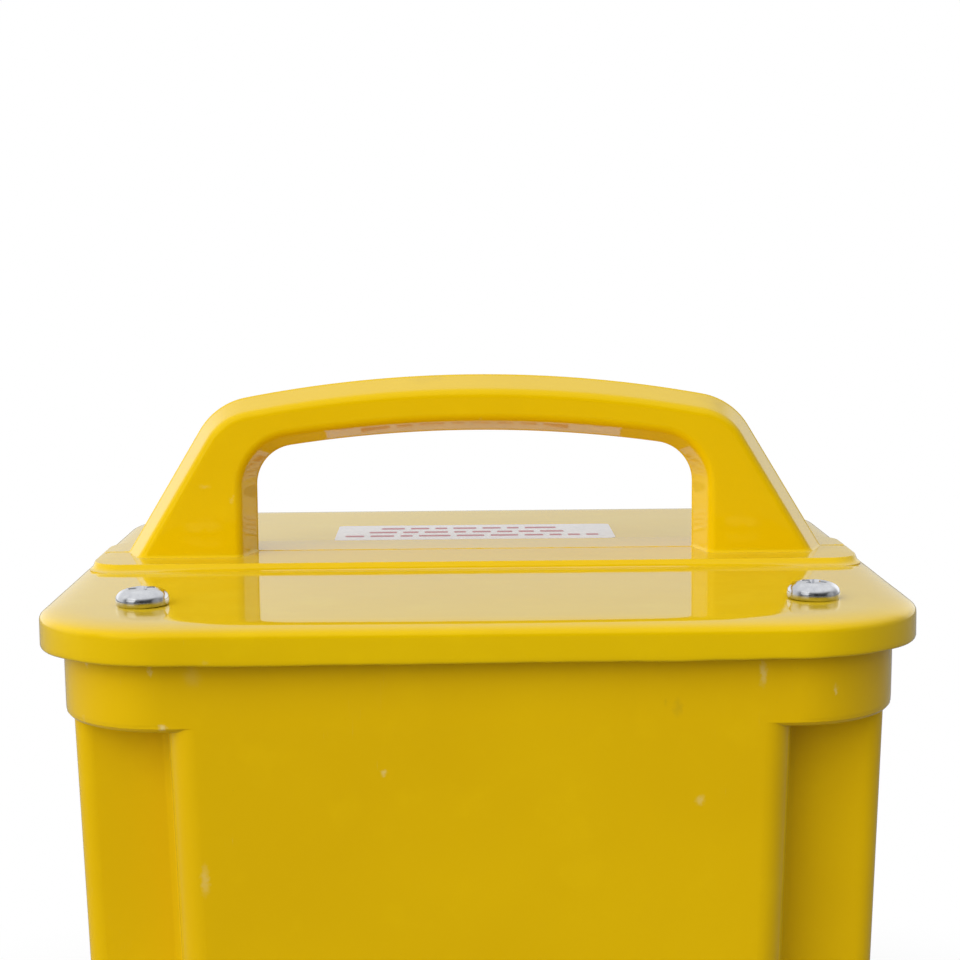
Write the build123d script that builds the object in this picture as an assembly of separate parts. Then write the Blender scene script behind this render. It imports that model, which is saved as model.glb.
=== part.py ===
from build123d import *
import os
from math import radians, tan, sin, cos, pi, sqrt

# Portable site transformer, 230 V in, 110 V out: a moulded box with a screwed lid,
# an arch handle, a wound core bolted to the floor of the box, and two flap-covered
# outlets, a reset button and a supply cable with its plug on the operating side.
# Frame: origin on the ground under the middle of the box, +Z up, +Y towards the
# operating side, plain rear face towards -Y. Left and right are as seen by someone
# facing the operating side, so left is +X. Millimetres. HX and HY are half sizes.

os.makedirs("parts", exist_ok=True)

# ---------------------------------------------------------------- driving dimensions
LID_L, LID_W, LID_R = 250.0, 240.0, 40.0      # plan size and corner radius
LID_TOP, RIM_BOTTOM = 280.0, 269.5            # top, and bottom of the turned-down rim
LID_SKIN = 5.0
LID_UNDER = LID_TOP - LID_SKIN
COLLAR_HX, COLLAR_HY, COLLAR_R = 118.0, 112.4, 32.0
COLLAR_BOTTOM, COLLAR_TOP = 250.7, 273.0
CORNER_HX, CORNER_HY, CORNER_R = 115.3, 92.4, 6.0  # corner zones of the box, at the collar
PANEL_HX, PANEL_R = 86.0, 8.0                 # proud front and rear panels
SIDE_HY, SIDE_R = 75.0, 3.0                   # proud side panels
WALL, FLOOR_T = 5.0, 6.0
DRAFT_SLOPE = tan(radians(1.6))               # mould draft of every outer wall
FOOT_H, FOOT_R = 8.0, 14.0                    # rubber feet
FLOOR_TOP = FOOT_H + FLOOR_T
GASKET_T = 2.0

STRIP_HX, STRIP_HY, STRIP_R, STRIP_T = 120.6, 23.6, 10.0, 2.0  # base strip of the handle
STRIP_TOP = LID_TOP + STRIP_T
STRIP_FLARE = 1.2                             # how much wider the strip is at the lid
STRAP_T = 3.0                                 # steel strap under the lid
HANDLE_HALF = 12.0                            # half thickness of the handle, in Y
HANDLE_TOP, GRIP_UNDER = 339.2, 321.4         # crown and underside of the grip at mid plane
ARCH_FOOT_X, SHOULDER_X, SHOULDER_Z = 112.8, 83.6, 330.4
ARCH_R, UNDER_R = 401.0, 412.0                # radii of the crown and of the underside
SHOULDER_R, OPENING_R = 22.0, 13.0            # corner radii of the arch and of the opening
OPENING_HX = 70.7                             # half width of the hand opening
HANDLE_DRAFT = 20.0                           # degrees

OUTLET_X, OUTLET_Z = 40.0, 168.0
FLANGE, FLANGE_R = 68.0, 9.0
BREAKER_Z = 226.0
LABEL_Z = 108.0
GLAND_X, GLAND_Z = 52.0, 52.0
CABLE_R = 4.75

CORE_L, CORE_H, CORE_T = 174.0, 145.0, 80.0   # laminated core: length, height, stack
CORE_Z, CORE_Y = 21.0, -12.0                  # underside of the core, and its middle in Y
LEG = 29.0                                    # yoke and outer leg; the centre leg is twice it
CORE_TOP = CORE_Z + CORE_H
CORE_REAR, CORE_FRONT = CORE_Y - CORE_T / 2, CORE_Y + CORE_T / 2


# ---------------------------------------------------------------- helpers
def block(x_from, x_to, y_from, y_to, z_from, z_to):
    """Box between limits, which may be given in either order."""
    centre = Pos((x_from + x_to) / 2, (y_from + y_to) / 2, (z_from + z_to) / 2)
    return centre * Box(abs(x_to - x_from), abs(y_to - y_from), abs(z_to - z_from))


def cyl(radius, z_from, z_to, x=0.0, y=0.0):
    return Pos(x, y, (z_from + z_to) / 2) * Cylinder(radius, z_to - z_from)


def cyl_x(radius, x_from, x_to, y=0.0, z=0.0):
    return Pos((x_from + x_to) / 2, y, z) * Rot(0, 90, 0) * Cylinder(radius, x_to - x_from)


def cyl_y(radius, y_from, y_to, x=0.0, z=0.0):
    return Pos(x, (y_from + y_to) / 2, z) * Rot(90, 0, 0) * Cylinder(radius, y_to - y_from)


def tube(outer_r, inner_r, z_from, z_to, x=0.0, y=0.0):
    return cyl(outer_r, z_from, z_to, x, y) - cyl(inner_r, z_from - 1, z_to + 1, x, y)


def cone(bottom_r, top_r, z_from, z_to, x=0.0, y=0.0):
    return Pos(x, y, (z_from + z_to) / 2) * Cone(bottom_r, top_r, z_to - z_from)


def prism(half_x, half_y, radius, z_from, z_to, x=0.0, y=0.0):
    """Upright block with rounded corners in plan."""
    return Pos(x, y, z_from) * extrude(
        RectangleRounded(2 * half_x, 2 * half_y, radius), z_to - z_from)


def tapered(half_x, half_y, radius, z_from, z_to):
    """Rounded block with the wall draft; the half sizes hold at z_to."""
    pull = (z_to - z_from) * DRAFT_SLOPE
    return loft([
        Pos(0, 0, z_from) * RectangleRounded(2 * (half_x - pull), 2 * (half_y - pull), radius),
        Pos(0, 0, z_to) * RectangleRounded(2 * half_x, 2 * half_y, radius),
    ], ruled=True)


def hexbar(across_flats, z_from, z_to, x=0.0, y=0.0, turn=0.0):
    hexagon = RegularPolygon(across_flats / 2, 6, major_radius=False)
    return Pos(x, y, z_from) * extrude(Rot(0, 0, turn) * hexagon, z_to - z_from)


def sweep_round(path, radius):
    return sweep(Plane(origin=path @ 0, z_dir=path % 0) * Circle(radius), path=path)


def pipe(points, radius, start, end):
    """Round cable through points, with its start and end directions."""
    return sweep_round(Spline(*points, tangents=(start, end)), radius)


def spring(radius, wire_r, turns, pitch):
    return sweep_round(Helix(pitch, pitch * turns, radius), wire_r)


def four_places(x, y):
    return [(sx * x, sy * y) for sx in (-1, 1) for sy in (-1, 1)]


def save(name, *shapes):
    items = [solid for shape in shapes for solid in shape.solids()]
    shape = items[0] if len(items) == 1 else Compound(items)
    shape.label = name
    export_step(shape, f"parts/{name}.step")


def try_fillet(shape, edges, radii):
    """Fillet with the first radius that works, or leave the shape as it is."""
    for radius in radii:
        # Guards against a radius the kernel cannot build, or an empty edge list.
        try:
            done = fillet(edges, radius)
            if done.is_valid and done.volume > 0:
                return done
        except Exception:
            continue
    return shape


def fillet_level(shape, z, *radii):
    """Round every edge centred at height z."""
    edges = shape.edges().filter_by(lambda edge: abs(edge.center().Z - z) < 1e-3)
    return try_fillet(shape, edges, radii)


def panel_y(z):
    """Y of the operating panel's outer face at height z."""
    return COLLAR_HY - (COLLAR_BOTTOM - z) * DRAFT_SLOPE


def on_panel(x, z):
    """Frame on the operating panel: x to the viewer's right, y up, z out of the panel."""
    return Plane(origin=(x, panel_y(z), z), x_dir=(-1, 0, 0),
                 z_dir=(0, 1, -DRAFT_SLOPE)).location


def panel_cutter(radius, x, z, right=0.0, up=0.0):
    return on_panel(x, z) * cyl(radius, -12, 4, right, up)


def dome_screw(head_r, head_h, shank_r, length):
    """Domed screw along Z with a cross recess; underside of the head at z = 0."""
    dome_r = (head_r ** 2 + (head_h - 1.0) ** 2) / (2 * (head_h - 1.0))
    dome = Pos(0, 0, head_h - dome_r) * Sphere(dome_r)
    screw = (dome & cyl(head_r, 1.0, head_h + 1)) + cyl(head_r, 0, 1.0)
    screw += cyl(shank_r, -length, 0)
    slot_hx, slot_hy, slot_depth = head_r * 0.42, head_r * 0.09, head_h * 0.55
    for angle in (0, 90):
        screw -= Rot(0, 0, angle) * block(
            -slot_hx, slot_hx, -slot_hy, slot_hy, head_h - slot_depth, head_h + 1)
    return screw


# ---------------------------------------------------------------- shared positions
LID_SCREWS = four_places(95.6, 83.3)
FEET = four_places(84.0, 68.0)
FLANGE_HOLES = four_places(27.5, 27.5)        # in an outlet's own frame
FLOOR_BOLTS = [(x, CORE_Y + y) for x, y in four_places(57.0, CORE_T / 2 + 16.0)]
CORE_BOLTS = [(sx * (CORE_L / 2 - 9.0), CORE_Z + rise)       # X and Z
              for sx in (-1, 1) for rise in (9.0, CORE_H - 9.0)]
HANDLE_BOLTS_X = [-97.0, -83.0, 83.0, 97.0]
OUTLETS = {"left": OUTLET_X, "right": -OUTLET_X}
PANEL_BACK = -(WALL + 0.25)                   # nut faces behind the panel, in its frame


# ---------------------------------------------------------------- box shell
def box_zones(inset, radii, z_from, z_to):
    """Corner zones, front and rear panels and side panels, drawn in by inset."""
    halves = [(CORNER_HX, CORNER_HY), (PANEL_HX, COLLAR_HY), (COLLAR_HX, SIDE_HY)]
    corner, panels, sides = [
        tapered(half_x - inset, half_y - inset, radius, z_from, z_to)
        for (half_x, half_y), radius in zip(halves, radii)]
    return corner + panels + sides


def is_panel_root(edge):
    """Upright edge where a front or rear panel meets a corner zone."""
    middle = edge.center()
    pull = (COLLAR_BOTTOM - middle.Z) * DRAFT_SLOPE
    return (abs(abs(middle.X) - PANEL_HX + pull) < 0.3
            and abs(abs(middle.Y) - CORNER_HY + pull) < 0.3
            and abs(edge.tangent_at(0.5).Z) > 0.9)


def is_collar_underside(edge):
    """Outer edge of the collar's bottom face."""
    if abs(edge.center().Z - COLLAR_BOTTOM) >= 1e-3:
        return False
    if min(abs((edge @ end).X) / COLLAR_HX for end in (0.0, 1.0)) <= 0.70:
        return False
    middle_x, middle_y = abs((edge @ 0.5).X), abs((edge @ 0.5).Y)
    if middle_x > COLLAR_HX - 0.2 or middle_y > COLLAR_HY - 0.2:
        return True
    return (middle_x > COLLAR_HX - COLLAR_R and middle_y > COLLAR_HY - COLLAR_R
            and edge.geom_type == GeomType.CIRCLE and abs(edge.radius - COLLAR_R) < 0.5)


def box_outside():
    outer = box_zones(0.0, (CORNER_R, PANEL_R, SIDE_R), FOOT_H, COLLAR_BOTTOM)
    outer = try_fillet(outer, outer.edges().filter_by(is_panel_root), (4.0, 3.0, 2.0))
    outer += prism(COLLAR_HX, COLLAR_HY, COLLAR_R, COLLAR_BOTTOM, COLLAR_TOP)
    outer = fillet_level(outer, FOOT_H, 2.5, 1.5)
    return try_fillet(outer, outer.edges().filter_by(is_collar_underside), (2.2, 1.4, 0.8))


def box_cavity():
    step_z = COLLAR_BOTTOM + WALL
    cavity = box_zones(WALL, (2, 4, 2), FLOOR_TOP, step_z)
    return cavity + prism(COLLAR_HX - WALL, COLLAR_HY - WALL, COLLAR_R - WALL,
                          step_z, COLLAR_TOP + 1)


def body_shell():
    outer = box_outside()
    pads = [block(sx * 86.0, sx * 119.0, sy * 73.0, sy * 114.0, 234, COLLAR_TOP) & outer
            for sx in (-1, 1) for sy in (-1, 1)]
    body = outer - box_cavity()
    for pad in pads:
        body += pad
    for x, y in LID_SCREWS:
        body -= cyl(5.0, 246, COLLAR_TOP + 1, x, y)
    # openings in the operating panel
    for outlet_x in OUTLETS.values():
        body -= panel_cutter(24.8, outlet_x, OUTLET_Z)
        for x, y in FLANGE_HOLES:
            body -= panel_cutter(2.1, outlet_x, OUTLET_Z, x, y)
    body -= panel_cutter(6.0, 0, BREAKER_Z)
    body -= panel_cutter(10.0, GLAND_X, GLAND_Z)
    # fixing holes in the floor; the core bolts are countersunk from below
    for x, y in FEET:
        body -= cyl(2.0, FOOT_H + 1.0, FLOOR_TOP + 1, x, y)
        body -= cyl(2.0, FOOT_H - 1.0, FOOT_H + 2.0, x, y)
    for x, y in FLOOR_BOLTS:
        body -= cyl(4.2, FOOT_H - 1, FLOOR_TOP + 1, x, y)
        body -= cyl(8.2, FOOT_H - 1, FOOT_H + 1.0, x, y)
    return body


save("body_shell", body_shell())
# threaded inserts moulded into the corner pads
save("lid_inserts", *[tube(4.98, 4.02, COLLAR_TOP - 20, COLLAR_TOP - 0.2, x, y)
                      for x, y in LID_SCREWS])


# ---------------------------------------------------------------- lid
def lid():
    rib_top = LID_UNDER + 0.5                 # runs a little into the skin
    gap = 0.8                                 # between the rim and the collar
    shape = prism(LID_L / 2, LID_W / 2, LID_R, RIM_BOTTOM, LID_TOP)
    shape = fillet_level(shape, LID_TOP, 4.0, 3.0)
    shape = fillet_level(shape, RIM_BOTTOM, 0.7, 0.5)
    shape -= prism(COLLAR_HX + gap, COLLAR_HY + gap, COLLAR_R + gap, RIM_BOTTOM - 1, LID_UNDER)
    for side in (-1, 1):
        shape += block(-74, 74, side * 103.2, side * 106.2, 264, rib_top)
        shape += block(side * 108.2, side * 111.2, -60, 60, 264, rib_top)
        shape += block(-104, 104, side * 54.0, side * 57.0, 269, rib_top)
    for x, y in LID_SCREWS:
        shape += cyl(9.5, COLLAR_TOP + 0.05, rib_top, x, y)
        shape -= cyl(4.5, RIM_BOTTOM - 10, LID_TOP + 1, x, y)
    for x in HANDLE_BOLTS_X:
        shape -= cyl(3.3, RIM_BOTTOM - 10, LID_TOP + 1, x, 0)
    return shape


def lid_gasket():
    outside, inside = 0.6, 4.4                # insets from the collar's outer face
    return prism(COLLAR_HX - outside, COLLAR_HY - outside, COLLAR_R - outside,
                 COLLAR_TOP, COLLAR_TOP + GASKET_T) \
        - prism(COLLAR_HX - inside, COLLAR_HY - inside, COLLAR_R - inside,
                COLLAR_TOP - 1, COLLAR_TOP + GASKET_T + 1)


save("lid", lid())
save("lid_gasket", lid_gasket())
save("lid_label", prism(48.4, 17.2, 2.0, LID_TOP, LID_TOP + 0.35, 0.3, 52.6))
# each screw stops at its own angle
save("lid_screws", *[
    Pos(x, y, LID_TOP) * Rot(0, 0, 20 + 31 * i) * dome_screw(7.8, 4.9, 3.98, 24.0)
    for i, (x, y) in enumerate(LID_SCREWS)])


# ---------------------------------------------------------------- handle and its base strip
def point_towards(centre, target, distance):
    dx, dz = target[0] - centre[0], target[1] - centre[1]
    length = sqrt(dx ** 2 + dz ** 2)
    return (centre[0] + dx / length * distance, centre[1] + dz / length * distance)


def arc_middle(centre, start, end, radius):
    chord_middle = ((start[0] + end[0]) / 2, (start[1] + end[1]) / 2)
    return point_towards(centre, chord_middle, radius)


def mirrored(point):
    return (-point[0], point[1])


def arch_outline(inset):
    """Outline of the arch in X and Z, drawn in by inset; points are on the +X half."""
    base_z = LID_TOP - 2.0
    # unit vector up the outer flank, and the one pointing outwards from it
    run, rise = SHOULDER_X - ARCH_FOOT_X, SHOULDER_Z - STRIP_TOP
    length = sqrt(run * run + rise * rise)
    up_x, up_z = run / length, rise / length
    out_x, out_z = up_z, -up_x
    flank_x, flank_z = ARCH_FOOT_X - out_x * inset, STRIP_TOP - out_z * inset
    # shoulder arc, tangent to the flank and to the crown arc
    shoulder_r = SHOULDER_R - inset
    crown_r, crown_z = ARCH_R - inset, HANDLE_TOP - ARCH_R
    start_x, start_z = flank_x - out_x * shoulder_r, flank_z - out_z * shoulder_r
    half_b = start_x * up_x + (start_z - crown_z) * up_z
    const = start_x ** 2 + (start_z - crown_z) ** 2 - (crown_r - shoulder_r) ** 2
    travel = -half_b + sqrt(half_b * half_b - const)
    shoulder = (start_x + up_x * travel, start_z + up_z * travel)
    flank_top = (shoulder[0] + out_x * shoulder_r, shoulder[1] + out_z * shoulder_r)
    crown_end = point_towards((0, crown_z), shoulder, crown_r)
    shoulder_mid = arc_middle(shoulder, flank_top, crown_end, shoulder_r)
    foot = (flank_x + (base_z - flank_z) / up_z * up_x, base_z)
    # hand opening
    opening_x, opening_r = OPENING_HX + inset, OPENING_R + inset
    under_r, under_z = UNDER_R + inset, GRIP_UNDER - UNDER_R
    corner_x = opening_x - opening_r
    corner_z = under_z + sqrt((under_r - opening_r) ** 2 - corner_x * corner_x)
    corner = (corner_x, corner_z)
    side_top = (opening_x, corner_z)
    under_end = point_towards((0, under_z), corner, under_r)
    corner_mid = arc_middle(corner, side_top, under_end, opening_r)
    side_foot = (opening_x, base_z)
    with BuildSketch(Plane.XZ) as sketch:
        with BuildLine():
            Line(mirrored(foot), mirrored(flank_top))
            ThreePointArc(mirrored(flank_top), mirrored(shoulder_mid), mirrored(crown_end))
            ThreePointArc(mirrored(crown_end), (0, crown_z + crown_r), crown_end)
            ThreePointArc(crown_end, shoulder_mid, flank_top)
            Line(flank_top, foot)
            Line(foot, side_foot)
            Line(side_foot, side_top)
            ThreePointArc(side_top, corner_mid, under_end)
            ThreePointArc(under_end, (0, under_z + under_r), mirrored(under_end))
            ThreePointArc(mirrored(under_end), mirrored(corner_mid), mirrored(side_top))
            Line(mirrored(side_top), mirrored(side_foot))
            Line(mirrored(side_foot), mirrored(foot))
        make_face()
    return sketch.sketch


def is_arch_rim(edge):
    middle = edge.center()
    return abs(abs(middle.Y) - HANDLE_HALF) < 1e-3 and middle.Z > LID_TOP + 1.5


def is_arch_root(edge):
    """Edge where a leg of the arch meets the strip."""
    middle = edge.center()
    return (abs(middle.Z - STRIP_TOP) < 0.05 and abs(middle.Y) < HANDLE_HALF + 1
            and OPENING_HX - 2 < abs(middle.X) < ARCH_FOOT_X + 3)


def handle():
    middle = arch_outline(0.0)
    face = arch_outline(HANDLE_HALF * tan(radians(HANDLE_DRAFT)))
    arch = loft([Pos(0, -HANDLE_HALF, 0) * face, middle], ruled=True) \
        + loft([middle, Pos(0, HANDLE_HALF, 0) * face], ruled=True)
    arch = try_fillet(arch, arch.edges().filter_by(is_arch_rim), (3.0, 2.6, 2.0, 1.4))
    arch = arch & block(-140, 140, -30, 30, LID_TOP + 0.5, 360)
    strip = loft([
        Pos(0, 0, LID_TOP) * RectangleRounded(
            2 * (STRIP_HX + STRIP_FLARE), 2 * (STRIP_HY + STRIP_FLARE), STRIP_R + STRIP_FLARE),
        Pos(0, 0, STRIP_TOP) * RectangleRounded(2 * STRIP_HX, 2 * STRIP_HY, STRIP_R),
    ], ruled=True)
    strip = fillet_level(strip, STRIP_TOP, 0.7, 0.5)
    shape = strip + arch
    shape = try_fillet(shape, shape.edges().filter_by(is_arch_root), (1.2, 0.8))
    for x in HANDLE_BOLTS_X:
        shape -= cyl(4.5, LID_TOP - 1, LID_TOP + 16, x, 0)
    return shape


def handle_strap():
    strap = prism(106, 13, 4, LID_UNDER - STRAP_T, LID_UNDER)
    for x in HANDLE_BOLTS_X:
        strap -= cyl(3.3, 260, 290, x, 0)
    return strap


def handle_screw(x):
    head_z = LID_UNDER - STRAP_T
    return cyl(2.98, head_z, LID_TOP + 13, x, 0) + hexbar(10, head_z - 4.0, head_z, x, 0, 15)


save("handle", handle())
save("handle_inserts", *[tube(4.48, 3.02, LID_TOP + 0.3, LID_TOP + 15.5, x, 0)
                         for x in HANDLE_BOLTS_X])
save("handle_strap", handle_strap())
save("handle_screws", *[handle_screw(x) for x in HANDLE_BOLTS_X])


# ---------------------------------------------------------------- feet
FOOT_SEAT = 4.0                               # depth of the screw head recess


def rubber_foot(x, y):
    foot = cone(FOOT_R, FOOT_R - 1.5, 0, FOOT_H, x, y)
    foot = fillet_level(foot, 0, 1.0)
    foot -= cyl(2.4, -1, FOOT_H + 1, x, y)
    return foot - cyl(5.5, -1, FOOT_SEAT, x, y)


save("rubber_feet", *[rubber_foot(x, y) for x, y in FEET])
save("foot_screws", *[Pos(x, y, FOOT_SEAT) * Rot(180, 0, 0) * dome_screw(4.4, 2.6, 1.98, 9.0)
                      for x, y in FEET])

# ---------------------------------------------------------------- wound core
CORE_HX = CORE_L / 2
BOLT_HOLE_R = 3.4
WINDOW_BOTTOM, WINDOW_TOP = CORE_Z + LEG, CORE_TOP - LEG


def drill_core_bolts(shape, y_from, y_to):
    for x, z in CORE_BOLTS:
        shape -= cyl_y(BOLT_HOLE_R, y_from, y_to, x, z)
    return shape


def e_laminations():
    stack = block(-CORE_HX, CORE_HX, CORE_REAR, CORE_FRONT, CORE_Z, WINDOW_TOP)
    for side in (-1, 1):
        stack -= block(side * LEG, side * 2 * LEG, CORE_REAR - 1, CORE_FRONT + 1,
                       WINDOW_BOTTOM, CORE_TOP)
    return drill_core_bolts(stack, CORE_REAR - 1, CORE_FRONT + 1)


def i_laminations():
    stack = block(-CORE_HX, CORE_HX, CORE_REAR, CORE_FRONT, WINDOW_TOP, CORE_TOP)
    return drill_core_bolts(stack, CORE_REAR - 1, CORE_FRONT + 1)


def ring(inner, outer, z_from, z_to, inner_r, outer_r):
    """Ring round the centre leg, between two offsets from the leg's faces."""
    return prism(LEG + outer, CORE_T / 2 + outer, outer_r, z_from, z_to, 0, CORE_Y) \
        - prism(LEG + inner, CORE_T / 2 + inner, inner_r, z_from - 1, z_to + 1, 0, CORE_Y)


def coil_former():
    bottom, top, flange_t = WINDOW_BOTTOM + 0.4, WINDOW_TOP - 0.4, 2.0
    return ring(0.4, 2.2, bottom, top, 0.6, 1.5) \
        + ring(0.4, 28.0, bottom, bottom + flange_t, 0.6, 3) \
        + ring(0.4, 28.0, top - flange_t, top, 0.6, 3)


# inner offset, outer offset, inner radius, outer radius, shortening at each end
WINDINGS = {
    "primary_winding": (2.5, 13.0, 1.5, 9, 0),
    "winding_insulation": (13.1, 14.3, 9.1, 10, 0),
    "secondary_winding": (14.4, 25.4, 10.1, 17, 0),
    "coil_wrap": (25.5, 26.6, 17.1, 18, 4),
}

save("e_laminations", e_laminations())
save("i_laminations", i_laminations())
save("coil_former", coil_former())
for name, (inner, outer, inner_r, outer_r, short) in WINDINGS.items():
    save(name, ring(inner, outer, WINDOW_BOTTOM + 2.8 + short, WINDOW_TOP - 2.8 - short,
                    inner_r, outer_r))

# ---------------------------------------------------------------- core clamps and bolts
CLAMP_HX, CLAMP_T = 84.0, 3.0
CLAMP_LAP, CLAMP_OVER = 22.0, 4.0             # reach over the yoke and past its edge


def clamp_frame(side, low):
    """Folded steel angle along a yoke; the low ones have feet for the floor bolts."""
    yoke_y = CORE_Y + side * CORE_T / 2
    near = yoke_y + side * 0.05
    z_from = CORE_Z - CLAMP_OVER if low else CORE_TOP - CLAMP_LAP
    z_to = CORE_Z + CLAMP_LAP if low else CORE_TOP + CLAMP_OVER
    frame = block(-CLAMP_HX, CLAMP_HX, near, near + side * CLAMP_T, z_from, z_to)
    if low:
        for end in (-1, 1):
            frame += block(end * 50.0, end * CLAMP_HX, near, yoke_y + side * 28.0,
                           z_from - CLAMP_T, z_from)
    else:
        frame += block(-CLAMP_HX, CLAMP_HX, near, yoke_y + side * 16.0, z_to - CLAMP_T, z_to)
    frame = drill_core_bolts(frame, -120, 120)
    for x, y in FLOOR_BOLTS:
        frame -= cyl(4.2, 0, CORE_Z - 2, x, y)
    return frame


HEAD_Y, NUT_Y = CORE_REAR - 3.1, CORE_FRONT + 3.1   # seats of the clamp bolts and nuts


def clamp_bolt(x, z):
    return cyl_y(2.98, HEAD_Y, NUT_Y + 9.0, x, z) \
        + Pos(x, HEAD_Y, z) * Rot(90, 0, 0) * hexbar(10, 0, 4)


def clamp_nut(x, z):
    return Pos(x, NUT_Y + 5.0, z) * Rot(90, 0, 0) * hexbar(10, 0, 5) \
        - cyl_y(3.0, NUT_Y - 1, NUT_Y + 10, x, z)


def floor_bolt(x, y):
    head = Pos(x, y, FOOT_H + 0.8) * Rot(180, 0, 0) * dome_screw(7.6, 4.2, 3.9, 2.0)
    return cyl(3.98, FOOT_H - 1.0, FLOOR_TOP + 14, x, y) + head


save("clamp_frames", *[clamp_frame(side, low) for side in (-1, 1) for low in (True, False)])
save("clamp_bolts", *[clamp_bolt(x, z) for x, z in CORE_BOLTS])
save("clamp_nuts", *[clamp_nut(x, z) for x, z in CORE_BOLTS])
save("floor_bolts", *[floor_bolt(x, y) for x, y in FLOOR_BOLTS])
save("floor_nuts", *[hexbar(13, CORE_Z - 4.0, CORE_Z + 2.5, x, y) - cyl(4.0, 0, 40, x, y)
                     for x, y in FLOOR_BOLTS])

# ---------------------------------------------------------------- terminals on the top yoke
TERMINAL_Z = CORE_TOP + 0.1
TERMINAL_HY = 12
TERMINAL_XS = [-35 + 14 * i for i in range(6)]


def terminal_block():
    shape = block(-42, 42, CORE_Y - TERMINAL_HY, CORE_Y + TERMINAL_HY,
                  TERMINAL_Z, TERMINAL_Z + 20)
    for x in TERMINAL_XS:
        shape -= block(x - 5, x + 5, CORE_Y - 5, CORE_Y + 5, TERMINAL_Z + 12, TERMINAL_Z + 21)
        shape -= cyl_y(2.6, CORE_Y - TERMINAL_HY - 1, CORE_Y + TERMINAL_HY + 1,
                       x, TERMINAL_Z + 6)
    return shape


def terminal_screw(x):
    return tube(3.6, 1.2, TERMINAL_Z + 12.0, TERMINAL_Z + 14.5, x, CORE_Y) \
        + cyl(1.25, TERMINAL_Z + 12.5, TERMINAL_Z + 14.5, x, CORE_Y)


def earth_stud():
    x, y, z = 66, CORE_FRONT + 9.0, CORE_TOP + CLAMP_OVER
    return hexbar(8, z, z + 4.0, x, y) + cyl(2.48, z, z + 14.0, x, y)


save("terminal_block", terminal_block())
save("terminal_screws", *[terminal_screw(x) for x in TERMINAL_XS])
save("earth_stud", earth_stud())

# ---------------------------------------------------------------- outlets, in their own frame
HINGE_Y, HINGE_Z = 31.0, 36.6                 # axis of the flap hinge
FLANGE_BACK, FLANGE_FACE = 1.5, 6.5
PIN_CIRCLE_R = 8.2
FLAP_R = 27.5


def pin_place(angle):
    return PIN_CIRCLE_R * cos(radians(angle)), PIN_CIRCLE_R * sin(radians(angle))


NEUTRAL_PLACE = pin_place(210.0)
# place, bore radius: earth, line, neutral
CONTACTS = [(pin_place(-30.0), 3.55), (pin_place(90.0), 2.55), (NEUTRAL_PLACE, 2.55)]


def socket_gasket():
    gasket = prism(FLANGE / 2, FLANGE / 2, FLANGE_R, 0.02, 1.48) - cyl(24.7, -1, 3)
    for x, y in FLANGE_HOLES:
        gasket -= cyl(2.3, -1, 3, x, y)
    return gasket


def hinge_lug(side):
    x_from, x_to = sorted((side * 9.0, side * 13.0))
    back_y = 34.6
    lug = block(x_from, x_to, 20, back_y, 14, 33)
    lug += block(x_from, x_to, 27.4, back_y, 32, HINGE_Z) \
        + cyl_x(3.6, x_from, x_to, HINGE_Y, HINGE_Z)
    # bevel where the lug leaves the barrel
    return lug - Pos((x_from + x_to) / 2, back_y, 14) * Rot(45, 0, 0) * Box(8, 12, 12)


def socket_housing():
    housing = prism(FLANGE / 2, FLANGE / 2, FLANGE_R, FLANGE_BACK, FLANGE_FACE)
    housing = fillet_level(housing, FLANGE_FACE, 1.6, 1.0)
    housing += cone(28.6, 27.0, 6.0, 12.0) + cyl(26.0, FLANGE_FACE, 34.0)
    housing += cyl(24.5, -33, 3)
    for side in (-1, 1):
        housing += hinge_lug(side)
    housing -= cyl(22.0, -30, 40)
    housing -= block(-3, 3, -24.0, -18, 10, 40)
    for (x, y), _ in CONTACTS:
        housing -= cyl(2.7, -40, -28, x, y)
    for x, y in FLANGE_HOLES:
        housing -= cyl(2.2, 0, 8, x, y)
        housing -= cone(2.2, 4.4, 4.2, 6.6, x, y)
    return housing - cyl_x(1.46, -14, 14, HINGE_Y, HINGE_Z)


def contact_carrier():
    carrier = cyl(15.4, -29.9, 26.0) + cyl(21.9, -29.9, -22.0)
    carrier = fillet_level(carrier, 26.0, 1.2)
    for (x, y), bore_r in CONTACTS:
        carrier -= cyl(bore_r + 1.1, -20.0, 27, x, y)
        carrier -= cyl(2.5, -31, -18, x, y)
    return carrier


def contact(x, y, bore_r):
    sleeve = cyl(bore_r + 1.05, -19.9, 24.5, x, y) + cyl(2.45, -42, -19.0, x, y)
    return sleeve - cyl(bore_r, 0.5, 26, x, y)


def socket_screw(x, y):
    """Countersunk screw with a cross recess."""
    return Pos(x, y, 0) * (
        cone(2.0, 4.2, 4.4, 6.5) + cyl(1.98, -10, 5.0)
        - block(-3.0, 3.0, -0.45, 0.45, 5.4, 7) - block(-0.45, 0.45, -3.0, 3.0, 5.4, 7))


def socket_nut(x, y):
    return hexbar(7, -8.4, PANEL_BACK, x, y) - cyl(2.0, -12, 0, x, y)


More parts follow.
